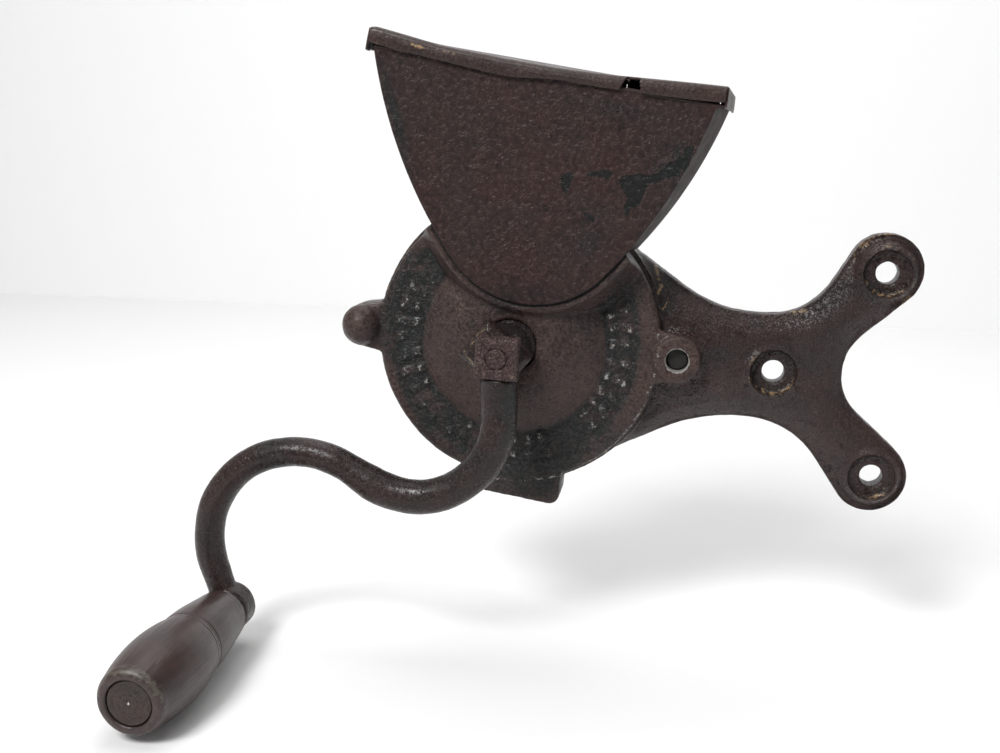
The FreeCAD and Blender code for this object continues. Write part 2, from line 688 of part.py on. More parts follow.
def front_halfspace(z):
    """Everything in front of the tilted plane that passes z at the plate's foot."""
    far = 2 * size("hopper_height")
    block = slab(-far, far, -far, far, 0, far)
    return tip_forward(block, z)


def burr_screw_places():
    """Three screws hold the fixed burr to the cover, between its eye and its edge."""
    ring = (size("burr_eye_radius") + size("burr_radius")) / 2 + size("burr_screw_shift")
    spots = [polar(ring, 30 + 120 * number) for number in range(3)]
    return [(spot.x, spot.y) for spot in spots]


def turned(corners):
    """Solid turned about the forward axis from its closed profile.

    Each corner is (radius, forward) or (radius, forward, radius of the arc to the next corner).
    """
    points = [Vector(corner[0], corner[1], 0) for corner in corners]
    edges = []
    for corner, a, b in zip(corners, points, points[1:] + points[:1]):
        edges.append(arc(a, bulged(a, b, corner[2]), b) if len(corner) == 3 else line(a, b))
    solid = Part.Face(Part.Wire(edges)).revolve(Vector(0, 0, 0), Vector(0, 1, 0), 360)
    solid.rotate(Vector(0, 0, 0), Vector(1, 0, 0), 90)
    return solid


def cover_ears(back):
    """Both ears: their webs, the open ear's boss by the bracket, and the closed ear's ball."""
    boss, ball = size("ear_boss_radius"), size("ear_ball_radius")
    web_face = COVER_FRONT - size("ear_web_sunk")
    right, left = ear_place(1), ear_place(-1)
    dome = Part.makeSphere(ball, Vector(left[0], left[1], COVER_FRONT - size("ear_ball_back")))
    return [ear_web(1, boss, back, web_face), ear_web(-1, ball, back, web_face),
            rod(boss, back, COVER_FRONT + size("ear_rise"), *right),
            dome.common(rod(ball + PAST, back, AHEAD, *left))]


def hopper_ledge():
    """Cast wall round the hopper's foot, flared down to the disc and cut off flush with the plate."""
    low = hopper_wire(size("ledge_wall") + size("ledge_flare"))
    low.translate(Vector(0, 0, COVER_FRONT - size("ledge_root")))
    high = tip_forward(hopper_wire(size("ledge_wall")), PLATE_Z)
    within = rod(size("cover_radius"), size("dish_depth"), AHEAD, DISC_X)
    return Part.makeLoft([low, high], True, True).common(within)


def bean_way(back, crest):
    """The hollow in the cover: bean chamber round the front bearing, hopper's pocket and the throat."""
    top, hollow = size("dome_top_radius"), size("dome_hollow_radius")
    roof = crest - size("cover_wall")
    bearing = rod(size("bearing_boss_radius"), crest - size("bearing_length"), crest)
    chamber = turned([(0, back - PAST), (hollow, back - PAST),
                      (hollow, back + size("hollow_lip"), size("hollow_bow")), (top, roof), (0, roof)])
    mouth = hopper_wire(-size("ledge_lap"))
    pocket = extrude_wire(mouth, COVER_FRONT, AHEAD)
    throat = extrude_wire(mouth, back - PAST, AHEAD).common(rod(hollow, back - PAST, AHEAD))
    throat = throat.cut(rod(size("bearing_boss_radius") + PAST, 0, AHEAD))
    return chamber.cut(bearing).fuse([pocket.cut(bearing), throat])


def front_cover():
    back = size("dish_depth")
    disc = rod(size("cover_radius"), back, COVER_FRONT, DISC_X)
    disc = disc.makeFillet(size("cover_round"), [edge for edge in disc.Edges if in_plane(edge, COVER_FRONT)])
    spout = spout_block(back, COVER_FRONT, size("spout_half"), size("spout_reach"), size("spout_draft"),
                        size("spout_round"))
    inner = size("band_inner")
    crest = COVER_FRONT + size("dome_rise")
    dome = turned([(0, back), (inner, back), (inner, COVER_FRONT, size("dome_bow")),
                   (size("dome_top_radius"), crest), (0, crest)])
    cover = disc.fuse(cover_ears(back) + [spout, dome])
    band = rod(size("band_outer"), COVER_FRONT - size("band_sink"), COVER_FRONT + PAST)
    cover = cover.cut(band.cut(rod(inner + size("band_lip"), 0, AHEAD)))
    cover = cover.fuse(hopper_ledge())
    cover = cover.cut(front_halfspace(PLATE_Z - size("fit_gap")))
    cover = cover.cut(bean_way(back, crest))
    cover = cover.cut(rod(size("journal_radius") + size("running_gap"), 0, AHEAD))
    for x, y in burr_screw_places():
        cover = cover.cut(rod(size("burr_screw_radius") + size("fit_gap"), back - PAST,
                              COVER_FRONT - size("screw_cover"), x, y))
    # the open ear's screw hole goes through, the closed one's stops at the face
    for side, stop in ((1, AHEAD), (-1, COVER_FRONT)):
        cover = cover.cut(rod(size("cover_screw_bore") / 2 + size("fit_gap"), 0, stop, *ear_place(side)))
    return cover.removeSplitter()


shape_part("front_cover", front_cover())


# The tin hopper: front plate, two bowed side sheets and a back with a sloping floor

def hopper_front():
    face = Part.Face(hopper_wire(0, 0, -size("rim_wire_bore") / 2))
    return tip_forward(face.extrude(Vector(0, 0, TIN)), PLATE_Z)


def hopper_sides():
    """Left and right side sheets, cut off on the castings' rim."""
    outer = hopper_volume(0, PLATE_Z - size("fit_gap"), BACK_Z, 0)
    inner = hopper_volume(TIN, PLATE_Z + PAST, BACK_Z - PAST, size("lid_rise"))
    shell = outer.cut(inner)
    shell = shell.cut(rod(size("dish_radius") + size("fit_gap"), 0, AHEAD, DISC_X))
    left, right = sorted(shell.Solids, key=lambda solid: solid.CenterOfMass.x)
    return left, right


def rim_reach(grow, flare):
    """Where an outline meets the rim line: distances along it from its middle."""
    middle, along, up = rim_frame()
    reach = [(vertex.Point - middle).dot(along) for vertex in hopper_wire(grow, flare).Vertexes]
    return min(reach), max(reach)


def hinge_axis():
    """A point on the hinge wire's axis, above the back sheet, and its direction."""
    middle, along, up = rim_frame()
    centre = middle + up * (size("lid_rise_back") + TIN - size("hinge_curl") / 2)
    centre.z = BACK_Z + size("hinge_curl") / 2
    return centre, along


def hinge_spans():
    """Stretches of the hinge wire inside the lid's two rolls and the back sheet's middle one."""
    start, stop = rim_reach(size("hopper_grow") - TIN, size("hopper_flare"))
    start, stop = start + size("hinge_end"), stop - size("hinge_end")
    share = (stop - start) * size("hinge_share")
    gap = size("roll_gap")
    return (start, start + share), (start + share + gap, stop - share - gap), (stop - share, stop)


def bar_along(radius, centre, along, start, stop):
    return Part.makeCylinder(radius, stop - start, centre + along * start, along)


def rolled(tongue, start, stop):
    """A sheet's edge rolled round the hinge wire: the tongue that reaches it, and the roll."""
    centre, along = hinge_axis()
    roll = tongue.fuse(bar_along(size("hinge_curl") / 2, centre, along, start, stop))
    bore = size("hinge_wire_bore") / 2 + size("running_gap")
    return roll.cut(bar_along(bore, centre, along, start - PAST, stop + PAST))


def upright_frame():
    """Turn that lays the x axis along the rim; its y then stands square to the rim."""
    middle = rim_frame()[0]
    turn = FreeCAD.Rotation(Vector(0, 0, 1), -size("rim_slope"))
    return FreeCAD.Placement(Vector(middle.x, middle.y, 0), turn)


def on_rim(shape):
    """Set a shape drawn with x along the rim and y above it in its place on the hopper."""
    copy = shape.copy()
    copy.Placement = upright_frame().multiply(copy.Placement)
    return copy


def hopper_back():
    """Back sheet, bent forward at its foot to make the floor that the beans slide down."""
    inside = hopper_volume(TIN + size("fit_gap"), PLATE_Z - size("fit_gap"), BACK_Z, 0)
    low = size("dish_radius") + size("floor_clear")
    bend = low + size("floor_rise")
    far = size("hopper_side")
    sheet = slab(-far, far, bend, far, BACK_Z, BACK_Z + TIN)
    front_z = COVER_FRONT - TIN
    corners = [Vector(-far, bend, BACK_Z), Vector(-far, bend + TIN, BACK_Z + TIN),
               Vector(-far, low + TIN, front_z), Vector(-far, low, front_z)]
    floor = Part.Face(Part.makePolygon(corners + corners[:1])).extrude(Vector(2 * far, 0, 0))
    back = sheet.fuse(floor).common(inside)
    middle_span = hinge_spans()[1]
    level = size("lid_rise_back") + TIN - size("hinge_curl") / 2
    tongue = on_rim(slab(*middle_span, -TIN, level, BACK_Z, BACK_Z + TIN))
    return back.fuse(rolled(tongue, *middle_span)).removeSplitter()


shape_part("hopper_front", hopper_front())
left_side, right_side = hopper_sides()
shape_part("hopper_side_left", left_side)
shape_part("hopper_side_right", right_side)
shape_part("hopper_back", hopper_back())


def rim_wire():
    """Stiffening wire in the front plate's top edge, one end standing out."""
    middle, along, _ = rim_frame()
    start, stop = rim_reach(0, 0)
    bar = bar_along(size("rim_wire_bore") / 2, middle, along, start + size("rim_wire_short"),
                    stop + size("rim_wire_end"))
    return tip_forward(bar, PLATE_Z + TIN / 2)


shape_part("rim_wire", rim_wire())


def hinge_wire():
    """Wire through the lid's rolls and the back sheet's."""
    first, _, last = hinge_spans()
    return bar_along(size("hinge_wire_bore") / 2, *hinge_axis(), first[0], last[1])


shape_part("hinge_wire", hinge_wire())


def dipped_strip(start, stop, low, high, low_dip, high_dip):
    """Closed band across the lid in the z = 0 plane, its long edges dipping in the middle."""
    half = (start + stop) / 2
    edges = [
        arc(Vector(start, low, 0), Vector(half, low - low_dip, 0), Vector(stop, low, 0)),
        line(Vector(stop, low, 0), Vector(stop, high, 0)),
        arc(Vector(stop, high, 0), Vector(half, high - high_dip, 0), Vector(start, high, 0)),
        line(Vector(start, high, 0), Vector(start, low, 0)),
    ]
    return Part.Wire(edges)


def lid():
    """Shallow tin tray turned over the hopper, its front dipping in the middle."""
    gap, rise, sag = size("lid_gap"), size("lid_rise"), size("lid_sag")
    rise_back = size("lid_rise_back")
    side = gap + TIN
    start, stop = rim_reach(0, 0)
    start, stop = start - side, stop + side
    back_start, back_stop = rim_reach(size("hopper_grow"), size("hopper_flare"))
    back_start, back_stop = back_start - side, back_stop + side
    front_z = PLATE_Z + TIN / 2 + size("rim_wire_bore") / 2 + gap
    clear_z = BACK_Z + size("hinge_curl") + gap

    def at_back(wire):
        copy = on_rim(wire)
        copy.translate(Vector(0, 0, clear_z))
        return copy

    def at_front(wire, forward=0.0):
        return tip_forward(on_rim(wire), front_z + forward)

    # nearly straight at the hinge, but still arcs, so that both ends of the loft match
    level = TIN / 20
    sheet = Part.makeLoft([
        at_back(dipped_strip(back_start, back_stop, rise_back, rise_back + TIN, level, level)),
        at_front(dipped_strip(start, stop, rise, rise + TIN, sag, sag), TIN)], True, True)
    flange_wire = dipped_strip(start, stop, size("lid_lip"), rise + TIN / 2, sag, sag)
    flange = Part.Face(flange_wire).extrude(Vector(0, 0, TIN))
    tray = sheet.fuse(at_front(flange))
    # the side flanges hang outside the side sheets, and clear the rim wire's end in front
    lap = size("lid_lap")
    for near, far, inward in ((start, back_start, TIN), (stop, back_stop, -TIN)):
        over = size("rim_wire_bore") / 2 + gap
        front_edge = [Vector(near, over, 0), Vector(near + inward, over, 0),
                      Vector(near + inward, rise + TIN / 2, 0), Vector(near, rise + TIN / 2, 0)]
        back_edge = [Vector(far, -lap, 0), Vector(far + inward, -lap, 0),
                     Vector(far + inward, rise_back + TIN / 2, 0), Vector(far, rise_back + TIN / 2, 0)]
        flank = Part.makeLoft([at_back(Part.makePolygon(back_edge + back_edge[:1])),
                               at_front(Part.makePolygon(front_edge + front_edge[:1]), TIN / 2)], True, True)
        tray = tray.fuse(flank)
    # two rolls round the hinge wire
    centre = hinge_axis()[0]
    for span in hinge_spans()[::2]:
        tongue = on_rim(slab(*span, rise_back, rise_back + TIN, centre.z, clear_z + TIN))
        tray = tray.fuse(rolled(tongue, *span))
    return tray.removeSplitter()


shape_part("lid", lid())


# Burrs: a fixed ring under the cover and a turning disc pinned to the shaft

FIXED_BACK = "(Sizes.dish_depth - Sizes.fixed_burr_depth)"
TURNING_FRONT = "(Sizes.dish_depth - Sizes.fixed_burr_depth - Sizes.burr_gap)"
BURR_SCREW_RING = "((Sizes.burr_eye_radius + Sizes.burr_radius) / 2 + Sizes.burr_screw_shift)"
DOME_FRONT = "(Sizes.dish_depth + Sizes.cover_rim + Sizes.dome_rise)"
BEARING_BACK = "(Sizes.dish_depth + Sizes.cover_rim + Sizes.dome_rise - Sizes.bearing_length)"


def tooth_grooves(body, plane_lift, name, forward):
    """One skewed groove across a burr's face, cut into it, and its pattern round the axis."""
    sketch = new_sketch(body, "XY_Plane", name + "_outline", plane_lift)
    inner = "(Sizes.burr_eye_radius - Sizes.tooth_width / 2)"
    outer = "(Sizes.burr_radius + Sizes.tooth_width / 2)"
    lean = "tan(Sizes.tooth_skew)"
    half = "Sizes.tooth_width / 2"
    closed_profile(sketch, [
        (inner, "-" + half + " / 2"),
        (outer, "(Sizes.burr_radius - Sizes.burr_eye_radius) * %s - %s" % (lean, half)),
        (outer, "(Sizes.burr_radius - Sizes.burr_eye_radius) * %s + %s" % (lean, half)),
        (inner, half + " / 2")])
    groove = body.newObject("PartDesign::Pocket", name)
    groove.Profile = sketch
    groove.setExpression("Length", "Sizes.tooth_depth")
    groove.Reversed = forward
    sketch.Visibility = False
    doc.recompute()
    pattern = body.newObject("PartDesign::PolarPattern", name + "_round")
    pattern.Originals = [groove]
    pattern.Axis = (sketch, ["N_Axis"])
    pattern.Angle = 360
    pattern.setExpression("Occurrences", "Sizes.tooth_count")
    body.Tip = pattern
    doc.recompute()


def screw_pockets(body, name, radius, lift, depth, forward):
    """Three round pockets in the fixed burr, on the burr screws' places."""
    sketch = new_sketch(body, "XY_Plane", name + "_outline", lift)
    ring = BURR_SCREW_RING
    for number in range(3):
        angle = 30 + 120 * number
        round_profile(sketch, radius, ("%s * cos(%d)" % (ring, angle), "%s * sin(%d)" % (ring, angle)))
    pocket = body.newObject("PartDesign::Pocket", name)
    pocket.Profile = sketch
    pocket.setExpression("Length", depth)
    pocket.Reversed = forward
    sketch.Visibility = False
    body.Tip = pocket
    doc.recompute()


def fixed_burr():
    body = new_body("fixed_burr")
    revolve(body, "fixed_ring", [
        ("Sizes.burr_eye_radius", FIXED_BACK), ("Sizes.burr_radius", FIXED_BACK),
        ("Sizes.burr_radius", "Sizes.dish_depth"), ("Sizes.burr_eye_radius", "Sizes.dish_depth")])
    volumes = [body.Shape.Volume]
    tooth_grooves(body, FIXED_BACK, "fixed_groove", True)
    volumes.append(body.Shape.Volume)
    screw_pockets(body, "screw_hole", "Sizes.burr_screw_radius + Sizes.fit_gap", FIXED_BACK,
                  "2 * Sizes.fixed_burr_depth", True)
    volumes.append(body.Shape.Volume)
    screw_pockets(body, "screw_seat", "Sizes.burr_screw_head_radius + Sizes.fit_gap", FIXED_BACK,
                  "Sizes.tooth_depth + Sizes.burr_screw_head_depth", True)
    volumes.append(body.Shape.Volume)
    check_shrinking(volumes, "fixed_burr")
    place(body, "fixed_burr")


def check_shrinking(volumes, label):
    """Every pocket must have taken metal away."""
    for before, after in zip(volumes, volumes[1:]):
        if after > before - 0.01:
            raise RuntimeError("a pocket cut nothing: " + label)


def turning_burr():
    """Disc with a hub and four twisted wings that crack the beans and feed them outwards."""
    body = new_body("rotating_burr")
    back = TURNING_FRONT + " - Sizes.turning_burr_depth"
    hub_front = BEARING_BACK + " - 2 * Sizes.burr_gap"
    hub_back = "Sizes.rear_boss_depth + Sizes.burr_gap"
    bore = "Sizes.shaft_seat_radius + Sizes.fit_gap"
    recess = "Sizes.rear_boss_radius + Sizes.burr_recess_clear"
    revolve(body, "turning_disc", [
        (bore, hub_back), (recess, hub_back), (recess, back), ("Sizes.burr_radius", back),
        ("Sizes.burr_radius", TURNING_FRONT), ("Sizes.burr_hub_radius", TURNING_FRONT),
        ("Sizes.burr_hub_radius", hub_front), (bore, hub_front)])
    volumes = [body.Shape.Volume]
    tooth_grooves(body, TURNING_FRONT, "turning_groove", False)
    volumes.append(body.Shape.Volume)
    check_shrinking(volumes, "rotating_burr")
    wing_sections = []
    for number, (lift, share) in enumerate(((TURNING_FRONT + " - Sizes.burr_gap", 0), (hub_front, 1))):
        sketch = new_sketch(body, "XY_Plane", "wing_outline_%d" % (number + 1), lift)
        sketch.setExpression("AttachmentOffset.Rotation.Angle", "Sizes.wing_twist * %d" % share)
        inner = "(Sizes.burr_hub_radius - Sizes.wing_width / 2)"
        outer = "(Sizes.wing_radius - %d * Sizes.wing_taper)" % share
        half = "Sizes.wing_width / 2"
        closed_profile(sketch, [(inner, "-" + half), (outer, "-" + half), (outer, half), (inner, half)])
        sketch.Visibility = False
        wing_sections.append(sketch)
    wing = body.newObject("PartDesign::AdditiveLoft", "wing")
    wing.Profile = wing_sections[0]
    wing.Sections = wing_sections[1:]
    doc.recompute()
    wings = body.newObject("PartDesign::PolarPattern", "wings")
    wings.Originals = [wing]
    wings.Axis = (wing_sections[0], ["N_Axis"])
    wings.Angle = 360
    wings.setExpression("Occurrences", "Sizes.wing_count")
    body.Tip = wings
    doc.recompute()
    cross_hole(body, "Sizes.wing_radius")
    place(body, "rotating_burr")


def cross_hole(body, length):
    """The pin's hole, drilled right across the forward axis."""
    sketch = new_sketch(body, "YZ_Plane", "pin_hole_outline")
    round_profile(sketch, "Sizes.burr_pin_bore / 2 + Sizes.fit_gap", ("0", PIN_Z))
    hole = body.newObject("PartDesign::Pocket", "pin_hole")
    hole.Profile = sketch
    hole.setExpression("Length", "2 * (%s)" % length)
    hole.Midplane = True
    sketch.Visibility = False
    body.Tip = hole
    doc.recompute()


PIN_Z = "((%s + Sizes.dish_depth) / 2)" % BEARING_BACK

fixed_burr()
turning_burr()


def burr_pin():
    """Straight pin across the hub, through the shaft."""
    body = new_body("burr_pin")
    sketch = new_sketch(body, "YZ_Plane", "pin_outline")
    round_profile(sketch, "Sizes.burr_pin_bore / 2", ("0", PIN_Z))
    pin = body.newObject("PartDesign::Pad", "pin")
    pin.Profile = sketch
    pin.setExpression("Length", "2 * (Sizes.burr_hub_radius - Sizes.burr_pin_short)")
    pin.Midplane = True
    sketch.Visibility = False
    doc.recompute()
    place(body, "burr_pin")


burr_pin()


# Shaft: stepped bar with a squared end and a screwed stud

HUB_FRONT = "(Sizes.hub_back + Sizes.hub_depth)"
STUD_END = "(Sizes.hub_back + Sizes.hub_depth + Sizes.nut_depth + Sizes.stud_end)"
SHAFT_REAR = "(Sizes.adjuster_length + Sizes.adjuster_sunk + Sizes.thrust_disc_depth + Sizes.fit_gap)"


def square_sketch(body, name, lift, side, turn="0", centre="0"):
    """A square about the axis, turned, and shifted along x."""
    sketch = new_sketch(body, "XY_Plane", name, lift)
    sketch.setExpression("AttachmentOffset.Base.x", centre)
    sketch.setExpression("AttachmentOffset.Rotation.Angle", turn)
    half = "(%s) / 2" % side
    closed_profile(sketch, [("-" + half, "-" + half), (half, "-" + half), (half, half), ("-" + half, half)])
    sketch.Visibility = False
    return sketch


def pad(body, name, sketch, length):
    feature = body.newObject("PartDesign::Pad", name)
    feature.Profile = sketch
    feature.setExpression("Length", length)
    body.Tip = feature
    doc.recompute()
    return feature


def shaft():
    body = new_body("shaft")
    seat_end = BEARING_BACK + " - Sizes.burr_gap"
    journal_end = DOME_FRONT + " - Sizes.journal_sunk"
    step = "Sizes.rear_boss_depth + Sizes.burr_gap"
    revolve(body, "shaft_turned", [
        ("0", SHAFT_REAR), ("Sizes.rear_journal_radius", SHAFT_REAR), ("Sizes.rear_journal_radius", step),
        ("Sizes.shaft_seat_radius", step), ("Sizes.shaft_seat_radius", seat_end),
        ("Sizes.journal_radius", seat_end), ("Sizes.journal_radius", journal_end),
        ("Sizes.shaft_neck_radius", journal_end + " + Sizes.journal_bevel"),
        ("Sizes.shaft_neck_radius", "Sizes.hub_back"), ("Sizes.stud_radius", "Sizes.hub_back"),
        ("Sizes.stud_radius", STUD_END), ("0", STUD_END)])
    square = square_sketch(body, "square_outline", "Sizes.hub_back", "Sizes.square_side", "Sizes.hub_turn")
    pad(body, "square_end", square, "Sizes.hub_depth - Sizes.square_short")
    cross_hole(body, "Sizes.journal_radius")
    place(body, "shaft")


shaft()


def adjusting_screw():
    """Slotted headless screw in the back of the dish that bears on the shaft."""
    body = new_body("adjusting_screw")
    stop = "Sizes.adjuster_sunk + Sizes.adjuster_length"
    start = "Sizes.adjuster_sunk"
    radius = "Sizes.adjuster_radius"
    revolve(body, "screw_turned", [("0", start), (radius, start), (radius, stop), ("0", stop)])
    slot(body, start)
    place(body, "adjusting_screw")


def slot(body, lift):
    """Screwdriver slot across a head that faces the wall."""
    sketch = new_sketch(body, "XY_Plane", "slot_outline", lift)
    half = "Sizes.slot_width / 2"
    reach = "Sizes.cover_screw_head"
    closed_profile(sketch, [("-" + reach, "-" + half), (reach, "-" + half),
                            (reach, half), ("-" + reach, half)])
    before = body.Shape.Volume
    cut = body.newObject("PartDesign::Pocket", "slot")
    cut.Profile = sketch
    cut.setExpression("Length", "Sizes.slot_depth")
    cut.Reversed = True
    sketch.Visibility = False
    body.Tip = cut
    doc.recompute()
    check_shrinking([before, body.Shape.Volume], body.Label)


adjusting_screw()


def thrust_disc():
    """Hard loose disc between the adjusting screw and the shaft's end."""
    disc = doc.addObject("Part::Cylinder", "thrust_disc")
    disc.setExpression("Radius", "Sizes.rear_journal_radius - 2 * Sizes.fit_gap")
    disc.setExpression("Height", "Sizes.thrust_disc_depth")
    place(disc, "thrust_disc")
    disc.setExpression("Placement.Base.y",
                       "-(Sizes.adjuster_sunk + Sizes.adjuster_length + Sizes.fit_gap / 2)")


thrust_disc()


# Slotted cheese-head screws from the back, through the dish's lugs into the cover's ears

def cover_screw(side, name):
    body = new_body(name)
    start = "Sizes.cover_screw_sunk"
    under = "(Sizes.cover_screw_sunk + Sizes.cover_screw_head_depth)"
    tip = "(Sizes.dish_depth + Sizes.cover_rim - Sizes.cover_screw_blind)"
    if side > 0:
        tip = "(Sizes.dish_depth + Sizes.cover_rim + Sizes.ear_rise - Sizes.cover_screw_short)"
    shank = "Sizes.cover_screw_bore / 2"
    revolve(body, "screw_turned", [
        ("0", start), ("Sizes.cover_screw_head / 2", start), ("Sizes.cover_screw_head / 2", under),
        (shank, under), (shank, tip + " - Sizes.cover_screw_point"),
        (shank + " - Sizes.cover_screw_point", tip), ("0", tip)])
    slot(body, start)
    place(body, name)
    reach = "Sizes.ear_right" if side > 0 else "Sizes.ear_left"
    out = "%d * %s" % (side, reach)
    body.setExpression("Placement.Base.x", "-Sizes.shaft_reach + %s * cos(Sizes.ear_turn)" % out)
    body.setExpression("Placement.Base.z", "Sizes.shaft_lift - %s * sin(Sizes.ear_turn)" % out)


cover_screw(-1, "cover_screw_left")
cover_screw(1, "cover_screw_right")


def burr_screw(number):
    """Flat-topped screw sunk below the fixed burr's ridges."""
    name = "burr_screw_%d" % (number + 1)
    body = new_body(name)
    start = FIXED_BACK + " + Sizes.tooth_depth"
    under = start + " + Sizes.burr_screw_head_depth - Sizes.fit_gap"
    tip = "Sizes.dish_depth + Sizes.cover_rim - Sizes.screw_cover - 3 * Sizes.fit_gap"
    revolve(body, "screw_turned", [
        ("0", start), ("Sizes.burr_screw_head_radius", start), ("Sizes.burr_screw_head_radius", under),
        ("Sizes.burr_screw_radius", under), ("Sizes.burr_screw_radius", tip), ("0", tip)])
    place(body, name)
    ring = BURR_SCREW_RING
    angle = 30 + 120 * number
    body.setExpression("Placement.Base.x", "-Sizes.shaft_reach + %s * cos(%d)" % (ring, angle))
    body.setExpression("Placement.Base.z", "Sizes.shaft_lift + %s * sin(%d)" % (ring, angle))


for number in range(3):
    burr_screw(number)


# Crank arm: round forged rod in two bends, with a squared hub and a round eye

def arm_route():
    """Corners and bend centres of the rod's centre line, from the hub to the eye."""
    rise = radians("rise_turn")
    one, two = size("bend_one"), size("bend_two")
    drop = Vector(0, -size("arm_drop"), 0)
    centre_one = drop + Vector(-one, 0, 0)
    sweep_one = math.pi / 2 + rise
    end_one = centre_one + Vector(math.cos(sweep_one), -math.sin(sweep_one), 0) * one
    heading = Vector(-math.cos(rise), math.sin(rise), 0)
    start_two = end_one + heading * size("arm_run")
    centre_two = start_two - Vector(math.sin(rise), math.cos(rise), 0) * two
    last = math.pi / 2 - rise + radians("bend_two_turn")
    end_two = centre_two + Vector(math.cos(last), math.sin(last), 0) * two
    tail = Vector(-math.sin(last), math.cos(last), 0)
    eye = end_two + tail * size("arm_tail")
    return drop, centre_one, end_one, start_two, centre_two, end_two, eye


ROUTE = arm_route()
EYE = ROUTE[-1]


def straight_rod(start, stop, first_radius, last_radius):
    """Tapered straight stretch between two points of the route."""
    way = stop - start
    length = way.Length
    return Part.makeCone(first_radius, last_radius, length, start, way.normalize())


def bent_rod(start, stop, centre, radius, clockwise):
    """Round stretch of the rod about a bend's centre."""
    arm = start - centre
    ring = Part.Face(Part.Wire(Part.makeCircle(radius, start, Vector(0, 0, 1).cross(arm))))
    sweep = math.degrees(arm.getAngle(stop - centre))
    if clockwise:
        return ring.revolve(centre, Vector(0, 0, -1), sweep)
    return ring.revolve(centre, Vector(0, 0, 1), sweep)


def crank_arm():
    drop, centre_one, end_one, start_two, centre_two, end_two, eye = ROUTE
    first, second = size("rod_first_radius"), size("rod_second_radius")
    rod_part = straight_rod(Vector(0, 0, 0), drop, size("rod_root_radius"), first).fuse([
        bent_rod(drop, end_one, centre_one, first, True),
        straight_rod(end_one, start_two, first, second),
        bent_rod(start_two, end_two, centre_two, second, False),
        straight_rod(end_two, eye, second, size("rod_tip_radius"))])
    rod_part.translate(Vector(0, 0, size("crank_plane")))
    back = size("hub_back")
    front = back + size("hub_depth")
    # the rod's root leaves room for the shaft's neck behind the hub and the nut in front
    neck = rod(size("shaft_neck_radius") + size("arm_clear"), 0, back)
    nut = turned_block(size("nut_side"), size("nut_side"), front, AHEAD, -size("nut_turn"), size("arm_clear"))
    rod_part = rod_part.cut([neck, nut])
    block = turned_block(size("hub_width"), size("hub_length"), back, front, size("hub_turn"))
    block = block.makeChamfer(size("hub_bevel"), [edge for edge in block.Edges if in_plane(edge, front)])
    block.translate(Vector(-size("hub_shift"), -size("hub_drop"), 0))
    eye_back = size("crank_plane") - size("eye_depth") / 2
    ring = rod(size("eye_radius"), eye_back, eye_back + size("eye_depth"), eye.x, eye.y)
    ring = ring.makeChamfer(size("eye_bevel"), [edge for edge in ring.Edges if len(edge.Vertexes) == 1])
    arm = block.fuse([rod_part, ring])
    side = size("square_side")
    arm = arm.cut(turned_block(side, side, 0, AHEAD, size("hub_turn"), size("fit_gap")))
    arm = arm.cut(rod(size("spindle_radius") + size("fit_gap"), 0, AHEAD, eye.x, eye.y))
    return arm.removeSplitter()


def turned_block(width, length, start, stop, turn, spread=0.0):
    """Block about the shaft's axis, its width turned from the x axis, grown by spread on every side."""
    across, along = width / 2 + spread, length / 2 + spread
    block = slab(-across, across, -along, along, start, stop)
    block.rotate(Vector(0, 0, 0), Vector(0, 0, 1), turn)
    return block


shape_part("crank_arm", crank_arm())


def crank_nut():
    body = new_body("crank_nut")
    outline = square_sketch(body, "nut_outline", HUB_FRONT, "Sizes.nut_side", "-Sizes.nut_turn")
    block = pad(body, "nut_block", outline, "Sizes.nut_depth")
    chamfer = body.newObject("PartDesign::Chamfer", "nut_edges")
    top = [name for name, face in zip(face_names(block), block.Shape.Faces)
           if face.normalAt(0, 0).z > 0.9]
    chamfer.Base = (block, top)
    chamfer.setExpression("Size", "Sizes.nut_bevel")
    body.Tip = chamfer
    doc.recompute()
    before = body.Shape.Volume
    sketch = new_sketch(body, "XY_Plane", "thread_outline", HUB_FRONT)
    round_profile(sketch, "Sizes.stud_radius + Sizes.fit_gap")
    hole = body.newObject("PartDesign::Pocket", "thread_hole")
    hole.Profile = sketch
    hole.setExpression("Length", "2 * Sizes.nut_depth")
    hole.Reversed = True
    sketch.Visibility = False
    body.Tip = hole
    doc.recompute()
    check_shrinking([before, body.Shape.Volume], "crank_nut")
    place(body, "crank_nut")


def face_names(feature):
    return ["Face%d" % (index + 1) for index in range(len(feature.Shape.Faces))]


crank_nut()

# Grip, spindle and washer, all about the eye's axis

EYE_FRONT = "(Sizes.crank_plane + Sizes.eye_depth / 2)"
GRIP_START = "(%s + Sizes.washer_depth + Sizes.grip_play)" % EYE_FRONT
GRIP_STOP = "(%s + Sizes.grip_length)" % GRIP_START
HEAD_START = "(%s - Sizes.spindle_head_sunk - Sizes.spindle_head_depth)" % GRIP_STOP


def place_on_eye(thing, label):
    """Stand a sub-part up on the axis of the crank's eye."""
    place(thing, label)
    thing.setExpression("Placement.Base.x", None)
    thing.setExpression("Placement.Base.z", None)
    thing.Placement.Base = Vector(EYE.x - size("shaft_reach"), 0, EYE.y + size("shaft_lift"))


